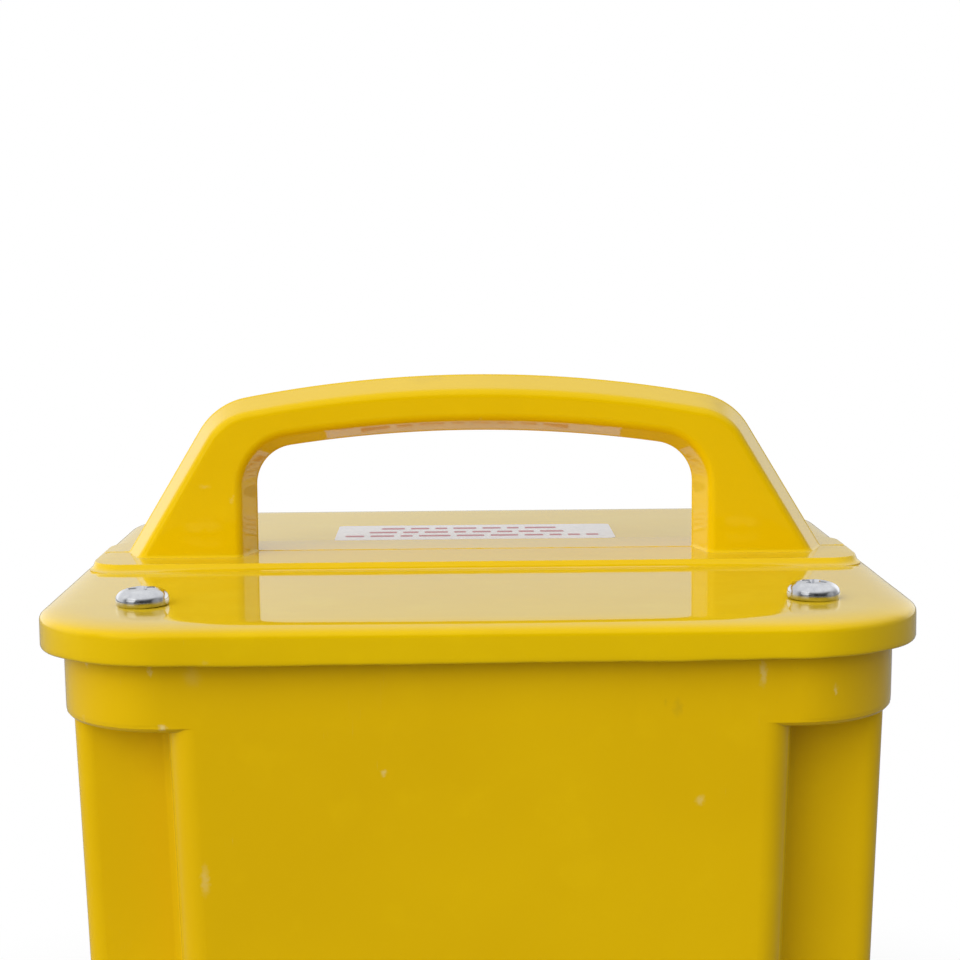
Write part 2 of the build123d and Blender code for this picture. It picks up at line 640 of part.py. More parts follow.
def flap():
    crown_r, rim_z = 150.0, 37.6
    shape = cyl(FLAP_R, 34.35, rim_z)
    dome = Pos(0, 0, rim_z + 2.4 - crown_r) * Sphere(crown_r)
    shape += (cyl(FLAP_R, 37.0, 41.0) & dome)
    top_edges = shape.edges().filter_by(lambda edge: edge.center().Z > 36.5)
    shape = try_fillet(shape, top_edges, (1.2, 0.8))
    # hinge knuckle, with a gap in the middle for the spring
    shape += block(-8.6, 8.6, 18, HINGE_Y, 35.2, 38.6)
    shape += cyl_x(3.0, -8.6, 8.6, HINGE_Y, HINGE_Z)
    shape -= block(-4.7, 4.7, 27.6, 36, 30, 42)
    shape += prism(9, 5, 3, 34.8, 37.8, 0, -28.5)       # finger tab
    shape -= tube(25.2, 22.4, 33, 35.4)                 # groove for the seal
    shape -= cyl_x(1.5, -10, 10, HINGE_Y, HINGE_Z)
    for i in range(3):
        shape -= block(-6, 6, -32.2 + 1.6 * i, -31.6 + 1.6 * i, 37.4, 39)
    return shape


OUTLET_PIECES = {
    "socket_gaskets": [socket_gasket()],
    "socket_housings": [socket_housing()],
    "contact_carriers": [contact_carrier()],
    "socket_contacts": [contact(x, y, bore_r) for (x, y), bore_r in CONTACTS],
    "socket_screws": [socket_screw(x, y) for x, y in FLANGE_HOLES],
    "socket_nuts": [socket_nut(x, y) for x, y in FLANGE_HOLES],
    "flap_hinge_pins": [cyl_x(1.44, -13.6, 13.6, HINGE_Y, HINGE_Z)
                        + cyl_x(2.2, 13.1, 14.2, HINGE_Y, HINGE_Z)],
    "flap_springs": [Pos(-3.75, HINGE_Y, HINGE_Z) * Rot(0, 90, 0)
                     * spring(2.25, 0.45, 6.5, 1.15)],
}
outlet_frames = {side: on_panel(x, OUTLET_Z) for side, x in OUTLETS.items()}
for name, pieces in OUTLET_PIECES.items():
    save(name, *[frame * piece for frame in outlet_frames.values() for piece in pieces])
for side, frame in outlet_frames.items():
    save(f"{side}_flap", frame * flap())
    save(f"{side}_flap_seal", frame * tube(25.1, 22.5, 34.06, 35.35))


# ---------------------------------------------------------------- thermal breaker and its button
def breaker_body():
    body = block(-8, 8, -15, 15, -45, PANEL_BACK) + cyl(5.9, -6, 9.0)
    body += block(-3, 3, 6, 7, -55, -44) + block(-3, 3, -7, -6, -55, -44)
    return body - cyl(4.26, -13, 10)


def breaker_ring_nut():
    nut = cyl(9.6, 0.05, 3.0) + cone(9.6, 7.6, 3.0, 5.0)
    for i in range(18):
        nut -= Rot(0, 0, 20 * i) * cyl(0.7, 0.8, 6, 9.8, 0)
    return nut - cyl(5.94, -1, 10)


def reset_button():
    radius, dome_r = 4.2, 9.0
    button = cyl(radius, -8.5, 13.0) \
        + (cyl(radius, 12.9, 15.5) & (Pos(0, 0, 14.4 - dome_r) * Sphere(dome_r)))
    return button - cyl(3.1, -9, 8.0)


breaker_frame = on_panel(0, BREAKER_Z)
save("breaker_body", breaker_frame * breaker_body())
save("breaker_ring_nut", breaker_frame * breaker_ring_nut())
save("reset_button", breaker_frame * reset_button())
save("reset_spring", breaker_frame * (Pos(0, 0, -12.4) * spring(2.45, 0.4, 9.0, 1.7)))
save("rating_label", on_panel(0, LABEL_Z) * prism(38, 14, 2, 0.0, 0.35))

# ---------------------------------------------------------------- cable gland
GLAND_HEX = 24                                # across flats


def gland_body():
    body = cyl(9.95, -14, 0.5) + hexbar(GLAND_HEX, 0.05, 5.0) + cyl(9.4, 4.5, 16.0)
    body -= cyl(8.1, 7, 17)
    return body - cyl(5.4, -15, 8)


def gland_dome_nut():
    nut = hexbar(GLAND_HEX, 5.1, 12.5) + cyl(11.2, 12.0, 17.0) + cone(11.2, 7.2, 17.0, 24.0)
    nut -= cyl(9.5, 5, 16.3)
    nut -= cyl(8.15, 16, 20.2)
    return nut - cyl(5.3, 19, 25)


gland_frame = on_panel(GLAND_X, GLAND_Z)
save("gland_body", gland_frame * gland_body())
save("gland_dome_nut", gland_frame * gland_dome_nut())
save("gland_seal", gland_frame * tube(8.0, CABLE_R + 0.12, 7.05, 20.0))
save("gland_locknut", gland_frame * (hexbar(GLAND_HEX, -9.8, PANEL_BACK) - cyl(9.98, -11, -4)))

# ---------------------------------------------------------------- supply cable, coiled on the ground
COIL_X, COIL_Y, COIL_R, COIL_PITCH = -22.0, 216.0, 84.0, 13.0
COIL_TURNS, COIL_STEPS = 1.5, 24
SETTLE = [1.2, 0.25, 0.05]                    # last of the drop, over the first coil steps
BEND_R = 32.0                                 # inner bend into the plug
BEND_SWEEP = 135
PLUG_HEADING = 45.0
cable_z = CABLE_R + 0.1
gland_y = panel_y(GLAND_Z)
bend_x = COIL_X - (COIL_R - COIL_PITCH * COIL_TURNS) + BEND_R


def bend_point(angle, rise):
    turn = radians(180 + angle)
    return (bend_x + BEND_R * cos(turn), COIL_Y + BEND_R * sin(turn), cable_z + rise)


plug_entry = bend_point(BEND_SWEEP, 4.0)
plug_dir = (cos(radians(PLUG_HEADING)), sin(radians(PLUG_HEADING)), 0.0)


def cable_points():
    # straight through the gland
    points = [(GLAND_X, gland_y + out, GLAND_Z - out * DRAFT_SLOPE)
              for out in (-26, -20, -14, -8, -2, 4, 10, 16, 22, 27)]
    # drop to the ground
    points += [
        (GLAND_X + 1.2, gland_y + 40, GLAND_Z - 5.0),
        (GLAND_X + 3.0, gland_y + 54, GLAND_Z - 17.0),
        (GLAND_X + 6.0, gland_y + 74, cable_z + 13.5),
        (GLAND_X + 9.0, gland_y + 92, cable_z + 4.6),
    ]
    for i in range(1, COIL_STEPS + 1):
        turn = 2 * pi * COIL_TURNS * i / COIL_STEPS
        radius = COIL_R - COIL_PITCH * turn / (2 * pi)
        lift = SETTLE[i - 1] if i <= len(SETTLE) else 0.0
        points.append((COIL_X + radius * cos(turn), COIL_Y + radius * sin(turn), cable_z + lift))
    points += [bend_point(angle, 3.6 * (angle / BEND_SWEEP) ** 2) for angle in (28, 56, 84, 110)]
    x, y, z = plug_entry
    return points + [plug_entry, (x + 9 * plug_dir[0], y + 9 * plug_dir[1], z)]


save("supply_cable", pipe(cable_points(), CABLE_R, (0, 1, -DRAFT_SLOPE), plug_dir))

# ---------------------------------------------------------------- plug, on its cover, pins up
# Own frame: +X from the cable entry into the plug, Z = 0 on the ground.
PLUG_SPLIT, PLUG_TOP = 17.0, 25.0
ENTRY_Z = plug_entry[2]
PLUG_SCREW_X = 28.0
# centre x, y, half sizes in x, y, and height above the base: earth, line, neutral
PLUG_PINS = [
    (39.2, 0.0, 2.0, 3.95, 22.7),
    (17.0, 11.1, 1.95, 3.15, 17.7),
    (17.0, -11.1, 1.95, 3.15, 17.7),
]


def plug_outline(inset=0.0):
    nose_x, rear_x = 2 + inset, 50 - inset
    nose_y, side_y = 12 - inset, 25 - inset
    with BuildSketch() as sketch:
        with BuildLine():
            Polyline((nose_x, -nose_y), (16, -side_y), (rear_x, -side_y),
                     (rear_x, side_y), (16, side_y), (nose_x, nose_y), close=True)
        make_face()
        fillet(sketch.vertices(), 4.0)
    return sketch.sketch


def plug_cover():
    cover = extrude(plug_outline(), amount=PLUG_SPLIT)
    cover = fillet_level(cover, 0, 3.0, 2.0, 1.0)
    cover -= Pos(0, 0, 3) * extrude(plug_outline(3.0), amount=20)
    return cover - cyl_x(CABLE_R + 0.15, -5, 8, 0, ENTRY_Z)


def plug_base():
    bottom = PLUG_SPLIT + 0.05
    base = Pos(0, 0, bottom) * extrude(plug_outline(), amount=PLUG_TOP - bottom)
    base = fillet_level(base, PLUG_TOP, 1.2, 0.8)
    for x, y, half_x, half_y, _ in PLUG_PINS:
        slot_x, slot_y = half_x + 0.05, half_y + 0.05
        base -= block(x - slot_x, x + slot_x, y - slot_y, y + slot_y,
                      PLUG_SPLIT - 1, PLUG_TOP + 1)
    base -= cyl(2.0, PLUG_SPLIT - 1, PLUG_TOP + 1, PLUG_SCREW_X, 0)
    return base - cyl(3.6, PLUG_TOP - 2.5, PLUG_TOP + 1, PLUG_SCREW_X, 0)


def plug_pin(x, y, half_x, half_y, height):
    top = PLUG_TOP + height
    pin = block(x - half_x, x + half_x, y - half_y, y + half_y, PLUG_SPLIT - 6, top)
    return fillet_level(pin, top, 0.9, 0.5)


plug_frame = Location((plug_entry[0], plug_entry[1], 0), (0, 0, PLUG_HEADING))
save("plug_cover", plug_frame * plug_cover())
save("plug_base", plug_frame * plug_base())
save("plug_pins", *[plug_frame * plug_pin(*pin) for pin in PLUG_PINS])
save("plug_screw", plug_frame * (Pos(PLUG_SCREW_X, 0, PLUG_TOP - 2.4)
                                 * dome_screw(3.4, 1.8, 1.9, 14.0)))
save("plug_fuse", plug_frame * cyl_x(3.15, 17.5, 42.5, 14.0, 7.0))
save("cable_grip", plug_frame * block(9.2, 14.2, -9, 9,
                                      ENTRY_Z + CABLE_R + 0.1, ENTRY_Z + CABLE_R + 3.0))

# ---------------------------------------------------------------- internal leads
LEAD_R = 1.7
TERMINAL_FRONT = CORE_Y + TERMINAL_HY + 1


def terminal_end(x):
    return (x, TERMINAL_FRONT - 4, TERMINAL_Z + 6)


def mains_lead(gland_offset, waypoints, terminal_x):
    points = [(GLAND_X + gland_offset, gland_y - 26.5, GLAND_Z + 3.5), *waypoints,
              (terminal_x, TERMINAL_FRONT + 12, TERMINAL_Z + 8), terminal_end(terminal_x)]
    return pipe(points, LEAD_R, (0, -1, 0.3), (0, -1, 0))


def secondary_lead(side, shift, terminal_x):
    """Lead from an outlet's neutral contact; shift moves its first bend in X."""
    start = (outlet_frames[side] * Pos(*NEUTRAL_PLACE, -42.3)).position
    points = [(start.X, start.Y, start.Z), (start.X + shift, start.Y - 12, start.Z + 12),
              (terminal_x + 2, TERMINAL_FRONT + 20, TERMINAL_Z + 14), terminal_end(terminal_x)]
    return pipe(points, LEAD_R, (0, -1, 0.2), (0, -1, -0.1))


save("mains_leads",
     mains_lead(-2.0, [(GLAND_X + 8, 72, 80), (74, 60, 150), (40, 34, 196)], 7),
     mains_lead(2.0, [(GLAND_X + 14, 74, 84), (80, 62, 152), (52, 38, 200)], 21))
save("secondary_leads", secondary_lead("left", 0, -7), secondary_lead("right", -4, -35))
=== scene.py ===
# A portable transformer in a yellow moulded case: box, lid, arched carrying handle, outlets, cable.
# It stands on the floor at z = 0. The handle runs along X, the front faces -Y and the rating
# plate faces +Y. Sizes are in millimetres and become metres when a mesh is made.
import math
import random

import bmesh
import bpy
from mathutils import Matrix, Vector, noise


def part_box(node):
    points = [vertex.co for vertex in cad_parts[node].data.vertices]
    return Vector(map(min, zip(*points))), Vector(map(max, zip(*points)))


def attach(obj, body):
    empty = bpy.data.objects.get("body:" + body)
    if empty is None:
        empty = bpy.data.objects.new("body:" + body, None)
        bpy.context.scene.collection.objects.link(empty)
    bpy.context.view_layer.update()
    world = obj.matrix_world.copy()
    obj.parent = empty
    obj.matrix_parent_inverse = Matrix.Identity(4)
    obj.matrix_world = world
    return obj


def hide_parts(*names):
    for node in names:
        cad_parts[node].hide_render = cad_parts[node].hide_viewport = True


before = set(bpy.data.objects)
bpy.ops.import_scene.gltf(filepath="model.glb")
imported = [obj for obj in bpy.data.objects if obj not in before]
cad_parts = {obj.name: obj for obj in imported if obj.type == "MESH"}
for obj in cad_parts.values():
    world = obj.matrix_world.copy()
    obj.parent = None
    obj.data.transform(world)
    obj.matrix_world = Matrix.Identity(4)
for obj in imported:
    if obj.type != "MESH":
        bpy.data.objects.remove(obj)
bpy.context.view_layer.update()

MM = 0.001
scene = bpy.context.scene


# ------------------------------------------------------------------------------ node helpers
class Graph:
    """A node tree with short ways to add nodes; inputs take a number, a colour or a socket."""

    def __init__(self, tree, output):
        self.tree = tree
        tree.nodes.clear()
        self.output = self.node(output)

    def put(self, sock, value):
        if isinstance(value, bpy.types.NodeSocket):
            self.tree.links.new(value, sock)
        elif isinstance(value, (tuple, list)) and len(value) == 3 and sock.type == "RGBA":
            sock.default_value = (*value, 1)
        else:
            sock.default_value = value

    def node(self, kind, inputs=(), **props):
        """Add a node; inputs maps socket names or indices to values."""
        made = self.tree.nodes.new(kind)
        for key, value in props.items():
            setattr(made, key, value)
        for key, value in dict(inputs).items():
            self.put(made.inputs[key], value)
        return made

    def math(self, operation, *values):
        return self.node("ShaderNodeMath", dict(enumerate(values)), operation=operation).outputs[0]

    def vec(self, operation, a, b=(0, 0, 0), out=0):
        return self.node("ShaderNodeVectorMath", {0: a, 1: b}, operation=operation).outputs[out]

    def ramp(self, value, span, to=(0, 1), smooth=False):
        """Map the span of a value to another span, held at its ends."""
        inputs = {"Value": value, "From Min": span[0], "From Max": span[1],
                  "To Min": to[0], "To Max": to[1]}
        kind = "SMOOTHSTEP" if smooth else "LINEAR"
        return self.node("ShaderNodeMapRange", inputs, interpolation_type=kind).outputs[0]

    def mix(self, share, a, b):
        return self.node("ShaderNodeMix", {0: share, 6: a, 7: b}, data_type="RGBA").outputs[2]

    def mix_shader(self, share, a, b):
        return self.node("ShaderNodeMixShader", {0: share, 1: a, 2: b}).outputs[0]


class Mat(Graph):
    """A procedural material in object space (metres)."""

    INPUTS = {"color": "Base Color", "metal": "Metallic", "rough": "Roughness", "ior": "IOR",
              "normal": "Normal", "spec": "Specular IOR Level", "tint": "Specular Tint"}

    def __init__(self, name):
        self.material = bpy.data.materials.new(name)
        self.material.use_nodes = True
        super().__init__(self.material.node_tree, "ShaderNodeOutputMaterial")
        self.principled = self.node("ShaderNodeBsdfPrincipled")
        self.put(self.output.inputs[0], self.principled.outputs[0])
        self.coords = self.node("ShaderNodeTexCoord").outputs["Object"]

    def math(self, operation, a, b):
        return super().math(operation, a, b, 0.0)

    def mapped(self, scale=(1, 1, 1), loc=(0, 0, 0), rot=(0, 0, 0), src=None):
        inputs = {"Vector": src or self.coords, "Scale": scale, "Location": loc, "Rotation": rot}
        return self.node("ShaderNodeMapping", inputs).outputs[0]

    def noise(self, scale, detail, rough, src=None, out=0):
        inputs = {"Vector": src or self.coords, "Scale": scale, "Detail": detail,
                  "Roughness": rough}
        return self.node("ShaderNodeTexNoise", inputs).outputs[out]

    def wave(self, scale, direction, dist, src=None):
        inputs = {"Vector": src or self.coords, "Scale": scale, "Distortion": dist, "Detail": 2}
        return self.node("ShaderNodeTexWave", inputs, bands_direction=direction).outputs["Fac"]

    def bump(self, height, strength, distance, normal=None):
        inputs = {"Height": height, "Strength": strength, "Distance": distance}
        if normal is not None:
            inputs["Normal"] = normal
        return self.node("ShaderNodeBump", inputs).outputs[0]

    def finish(self, **values):
        for key, value in values.items():
            self.put(self.principled.inputs[self.INPUTS[key]], value)
        return self.material


# ------------------------------------------------------------------------------ materials
YELLOW = (0.790, 0.492, 0.0006)
YELLOW_DEEP = (0.750, 0.456, 0.0005)
YELLOW_LIGHT = (0.82, 0.522, 0.0012)
SCUFF_PALE = (0.80, 0.70, 0.36)
CHIP_PALE = (0.84, 0.76, 0.44)
SMUDGE_BROWN = (0.40, 0.25, 0.02)
SPECK_BROWN = (0.30, 0.17, 0.01)
# pale colour for dust and for a painted grazing sheen on the mouldings
DUST_AND_SHEEN = (0.76, 0.68, 0.13)

# marks on the mouldings, in mm: x, y, z, radius, stretch in z, weight
BOX_CHIPS = [
    (-107.6, -103.5, 267.2, 1.3, 1.0, 0.55), (-89.5, -112.1, 266.8, 0.9, 2.6, 0.45),
    (-78.2, -112.4, 265.2, 3.2, 1.3, 0.10), (-86.5, -112.4, 251.0, 1.6, 1.0, 0.85),
    (-109.4, -101.6, 251.2, 1.1, 1.6, 0.55), (-26.6, -111.9, 237.8, 1.3, 1.0, 0.55),
    (60.0, -111.7, 229.1, 1.7, 1.2, 0.38), (-76.2, -111.1, 207.9, 1.6, 3.8, 0.32),
    (76.9, -112.4, 264.4, 1.3, 4.0, 0.42), (97.0, -110.2, 259.1, 1.0, 2.4, 0.60),
    (-70.0, -110.0, 142.0, 1.4, 4.0, 0.4), (39.0, -106.0, 96.0, 1.6, 1.8, 0.4),
    (117.0, 30.0, 254.0, 1.4, 1.0, 0.6), (-117.2, -20.0, 253.0, 1.4, 1.2, 0.5),
    (112.5, 40.0, 90.0, 2.2, 2.6, 0.35), (-111.5, 12.0, 60.0, 2.4, 2.0, 0.35)]
BOX_SMUDGES = [(53.7, -112.4, 255.4, 1.8, 2.0, 0.35), (50.4, -112.4, 256.6, 1.0, 1.2, 0.25)]
LID_CHIPS = [
    (-73.6, -120.0, 270.6, 1.1, 1.0, 0.12), (-101.0, -114.0, 270.4, 1.1, 1.0, 0.4),
    (125.0, -20.0, 270.5, 1.3, 1.0, 0.5), (-125.0, 40.0, 271.0, 1.2, 1.0, 0.5),
    (14.0, -60.0, 280.0, 0.6, 1.0, 0.35)]
HANDLE_CHIPS = [
    (2.0, -11.2, 326.0, 0.9, 1.0, 0.35), (-77.5, -11.7, 301.0, 0.9, 2.0, 0.3),
    (-86.0, -12.0, 305.0, 2.4, 0.5, 0.16)]
HANDLE_SMUDGES = [
    (-17.0, -3.0, 338.9, 6.0, 1.0, 0.20), (-12.0, -2.0, 338.9, 4.0, 1.0, 0.22),
    (74.0, -6.0, 333.5, 5.0, 1.0, 0.30), (79.0, -5.0, 331.0, 4.0, 1.0, 0.30)]


def mark_mask(mat, marks):
    """Soft spots at the listed places, their edges made ragged by noise."""
    ragged = mat.noise(scale=700, detail=4, rough=0.65, out="Color")
    warp = mat.vec("SCALE", mat.vec("SUBTRACT", ragged, (0.5, 0.5, 0.5)))
    warp.node.inputs["Scale"].default_value = 0.0030
    place = mat.vec("ADD", mat.coords, warp)
    total = None
    for x, y, z, radius, stretch, weight in marks:
        away = mat.vec("SUBTRACT", place, (x * MM, y * MM, z * MM))
        away = mat.vec("MULTIPLY", away, (1, 1, 1 / stretch))
        spot = mat.ramp(mat.vec("LENGTH", away, out=1), (radius * MM * 0.10, radius * MM),
                        to=(weight * 0.62, 0.0), smooth=True)
        total = spot if total is None else mat.math("MAXIMUM", total, spot)
    return total


def yellow_moulding(name, chips, streak, seed, smudges=(), green=1.0):
    """Glossy yellow; streak is the strength of the scuffs, seed moves the pattern."""
    mat = Mat(name)
    shifted = mat.mapped(loc=(seed, seed * 1.7, seed * 0.6))
    base, deep, light = [(r, g * green, b) for r, g, b in (YELLOW, YELLOW_DEEP, YELLOW_LIGHT)]
    big = mat.noise(scale=9, detail=3, rough=0.55, src=shifted)
    mid = mat.noise(scale=55, detail=3, rough=0.6, src=shifted)
    fine = mat.noise(scale=1500, detail=2, rough=0.6, src=shifted)
    col = mat.mix(mat.ramp(big, (0.35, 0.68), smooth=True), base, deep)
    col = mat.mix(mat.ramp(mid, (0.52, 0.75), to=(0, 0.45), smooth=True), col, light)
    col = mat.mix(mat.ramp(fine, (0.3, 0.7), to=(0.0, 0.16)), col, deep)
    # hairline scuffs in patches, nearly vertical and faint
    tall = mat.mapped(scale=(2600, 2600, 70), rot=(0.02, 0.05, 0), src=shifted)
    hairs = mat.noise(scale=1.0, detail=4, rough=0.65, src=tall)
    patch = mat.noise(scale=26, detail=2, rough=0.5, src=shifted)
    scuff = mat.math("MULTIPLY", mat.ramp(hairs, (0.66, 0.74), smooth=True),
                     mat.ramp(patch, (0.55, 0.72), smooth=True))
    col = mat.mix(mat.math("MULTIPLY", scuff, 0.28 * streak), col, SCUFF_PALE)
    # pinhead specks, only in some areas
    cells = mat.node("ShaderNodeTexVoronoi", {"Vector": shifted, "Scale": 260}).outputs[0]
    area = mat.noise(scale=33, detail=1, rough=0.5, src=shifted)
    speck = mat.math("MULTIPLY", mat.ramp(cells, (0.0, 0.045), to=(1.0, 0.0)),
                     mat.ramp(area, (0.60, 0.66)))
    col = mat.mix(mat.math("MULTIPLY", speck, 0.5), col, SPECK_BROWN)
    rough = mat.ramp(big, (0.3, 0.7), to=(0.035, 0.075))
    rough = mat.math("ADD", rough, mat.math("MULTIPLY", scuff, 0.22))
    if smudges:
        col = mat.mix(mark_mask(mat, smudges), col, SMUDGE_BROWN)
    chipped = mark_mask(mat, chips)
    col = mat.mix(chipped, col, CHIP_PALE)
    rough = mat.math("ADD", rough, mat.math("MULTIPLY", chipped, 0.35))
    # a breath of dust together with a painted sheen: a pale colour mixed in only at a glancing view
    facing = mat.node("ShaderNodeLayerWeight", {"Blend": 0.5}).outputs["Facing"]
    graze = mat.math("POWER", facing, 3.5)
    dust = mat.math("MULTIPLY", graze, mat.ramp(mid, (0.3, 0.7), to=(0.20, 0.32)))
    col = mat.mix(dust, col, DUST_AND_SHEEN)
    # long waves in the surface, with finer ripple over them
    ripple = mat.noise(scale=165, detail=1, rough=0.4, src=shifted)
    waves = mat.noise(scale=22, detail=1, rough=0.4, src=shifted)
    normal = mat.bump(waves, strength=0.12, distance=0.0012)
    normal = mat.bump(ripple, strength=0.10, distance=0.00016, normal=normal)
    return mat.finish(color=col, rough=rough, ior=1.5, normal=normal, tint=(1.0, 0.97, 0.24))


def plain(name, base, var, rough, scale=60, bump=0.15, bump_scale=600):
    """Two mottled tones with a fine grain."""
    mat = Mat(name)
    mottle = mat.noise(scale=scale, detail=4, rough=0.6)
    col = mat.mix(mat.ramp(mottle, (0.35, 0.65), smooth=True), base, var)
    grain = mat.noise(scale=bump_scale, detail=3, rough=0.6)
    return mat.finish(color=col, rough=mat.ramp(grain, (0.3, 0.7), to=rough),
                      normal=mat.bump(grain, strength=bump, distance=0.0002))


def brushed(name, base, var, rough=(0.22, 0.42)):
    """Metal with fine lines along X."""
    mat = Mat(name)
    lines = mat.noise(scale=1.0, detail=4, rough=0.65, src=mat.mapped(scale=(30, 1200, 1200)))
    mottle = mat.noise(scale=45, detail=3, rough=0.6)
    col = mat.mix(mat.ramp(mottle, (0.35, 0.65)), base, var)
    return mat.finish(color=col, metal=1.0, rough=mat.ramp(lines, (0.3, 0.7), to=rough),
                      normal=mat.bump(lines, strength=0.12, distance=0.0001))


def zinc(name):
    mat = Mat(name)
    fine = mat.noise(scale=420, detail=3, rough=0.6)
    big = mat.noise(scale=120, detail=2, rough=0.5)
    col = mat.mix(mat.ramp(fine, (0.35, 0.7)), (0.66, 0.67, 0.69), (0.54, 0.55, 0.58))
    col = mat.mix(mat.ramp(big, (0.6, 0.75), to=(0, 0.5)), col, (0.42, 0.43, 0.46))
    return mat.finish(color=col, metal=1.0, rough=mat.ramp(fine, (0.3, 0.7), to=(0.09, 0.20)),
                      normal=mat.bump(big, strength=0.16, distance=0.0005))


def rubber(name, base=(0.018, 0.018, 0.019), var=(0.034, 0.033, 0.032), rough=(0.45, 0.65)):
    mat = Mat(name)
    mottle = mat.noise(scale=80, detail=4, rough=0.65)
    grain = mat.noise(scale=2600, detail=3, rough=0.7)
    dust = mat.ramp(mat.noise(scale=40, detail=4, rough=0.7), (0.55, 0.8), to=(0, 0.35),
                    smooth=True)
    col = mat.mix(mat.ramp(mottle, (0.35, 0.65)), base, var)
    col = mat.mix(dust, col, (0.10, 0.095, 0.085))
    return mat.finish(color=col, rough=mat.ramp(grain, (0.3, 0.7), to=rough),
                      normal=mat.bump(grain, strength=0.25, distance=0.0002), spec=0.4)


def copper(name):
    """Wire turns stacked along Z."""
    mat = Mat(name)
    turns = mat.wave(scale=330, direction="Z", dist=0.6, src=mat.mapped())
    col = mat.mix(turns, (0.33, 0.10, 0.035), (0.62, 0.26, 0.10))
    return mat.finish(color=col, metal=0.6, rough=0.28,
                      normal=mat.bump(turns, strength=0.9, distance=0.0006))


def laminations(name):
    """Thin steel sheets stacked along Y, with a little rust."""
    mat = Mat(name)
    sheets = mat.wave(scale=480, direction="Y", dist=0.4)
    col = mat.mix(sheets, (0.05, 0.052, 0.058), (0.17, 0.17, 0.18))
    rust = mat.noise(scale=60, detail=4, rough=0.7)
    col = mat.mix(mat.ramp(rust, (0.55, 0.75), to=(0, 0.5)), col, (0.12, 0.06, 0.03))
    return mat.finish(color=col, metal=0.7, rough=0.42,
                      normal=mat.bump(sheets, strength=0.6, distance=0.0003))


def label_vinyl(name):
    mat = Mat(name)
    mottle = mat.noise(scale=70, detail=4, rough=0.6)
    col = mat.mix(mat.ramp(mottle, (0.35, 0.7)), (0.82, 0.79, 0.775), (0.76, 0.735, 0.725))
    fine = mat.noise(scale=900, detail=2, rough=0.5)
    waves = mat.noise(scale=60, detail=2, rough=0.5)
    return mat.finish(color=col, rough=mat.ramp(fine, (0.3, 0.7), to=(0.16, 0.26)),
                      normal=mat.bump(waves, strength=0.15, distance=0.0006))


def label_ink(name):
    mat = Mat(name)
    worn = mat.ramp(mat.noise(scale=2400, detail=3, rough=0.7), (0.42, 0.62), to=(0, 0.55))
    return mat.finish(color=mat.mix(worn, (0.42, 0.055, 0.075), (0.60, 0.36, 0.38)), rough=0.35)


def rating_plate(name):
    mat = Mat(name)
    lines = mat.noise(scale=1.0, detail=4, rough=0.65, src=mat.mapped(scale=(40, 2000, 1600)))
    col = mat.mix(mat.ramp(lines, (0.3, 0.7)), (0.55, 0.56, 0.58), (0.45, 0.46, 0.48))
    return mat.finish(color=col, metal=0.9, rough=mat.ramp(lines, (0.3, 0.7), to=(0.28, 0.45)))


MATERIALS = {
    "box": yellow_moulding("yellow_box", BOX_CHIPS, streak=0.8, seed=0.0, smudges=BOX_SMUDGES),
    "lid": yellow_moulding("yellow_lid", LID_CHIPS, streak=0.35, seed=3.1, green=1.05),
    "handle": yellow_moulding("yellow_handle", HANDLE_CHIPS, streak=0.4, seed=7.3,
                              smudges=HANDLE_SMUDGES, green=1.05),
    "zinc": zinc("bright_zinc"),
    "steel": brushed("plain_steel", base=(0.46, 0.47, 0.49), var=(0.36, 0.37, 0.40)),
    "brass": brushed("turned_brass", base=(0.72, 0.52, 0.20), var=(0.60, 0.42, 0.16),
                     rough=(0.18, 0.32)),
    "rubber": rubber("black_rubber"),
    "cable": rubber("cable_sheath", base=(0.014, 0.014, 0.015), var=(0.028, 0.027, 0.027),
                    rough=(0.38, 0.52)),
    "seal": rubber("sealing_foam", base=(0.07, 0.07, 0.07), var=(0.11, 0.11, 0.11),
                   rough=(0.7, 0.85)),
    "black": plain("black_nylon", base=(0.017, 0.017, 0.018), var=(0.026, 0.026, 0.027),
                   rough=(0.30, 0.42), bump=0.2, bump_scale=1800),
    "plug": plain("plug_black", base=(0.014, 0.014, 0.015), var=(0.024, 0.024, 0.025),
                  rough=(0.24, 0.40), bump=0.22, bump_scale=1500),
    "outlet": plain("outlet_yellow", base=(0.74, 0.44, 0.010), var=(0.69, 0.40, 0.008),
                    rough=(0.20, 0.30), scale=40, bump=0.10, bump_scale=1400),
    "white": plain("white_nylon", base=(0.72, 0.71, 0.67), var=(0.66, 0.65, 0.60),
                   rough=(0.3, 0.4)),
    "red": plain("button_red", base=(0.50, 0.012, 0.010), var=(0.42, 0.010, 0.008),
                 rough=(0.16, 0.25), bump=0.06),
    "copper": copper("winding_copper"),
    "lam": laminations("core_laminations"),
    "paper": plain("insulation_paper", base=(0.55, 0.43, 0.22), var=(0.46, 0.35, 0.16),
                   rough=(0.5, 0.7), scale=200),
    "lead": plain("lead_brown", base=(0.13, 0.045, 0.02), var=(0.10, 0.035, 0.015),
                  rough=(0.35, 0.5)),
    "label": label_vinyl("label_vinyl"),
    "ink": label_ink("label_ink_red"),
    "plate": rating_plate("rating_plate"),
    "print": plain("plate_print", base=(0.02, 0.02, 0.022), var=(0.035, 0.035, 0.038),
                   rough=(0.4, 0.55)),
}

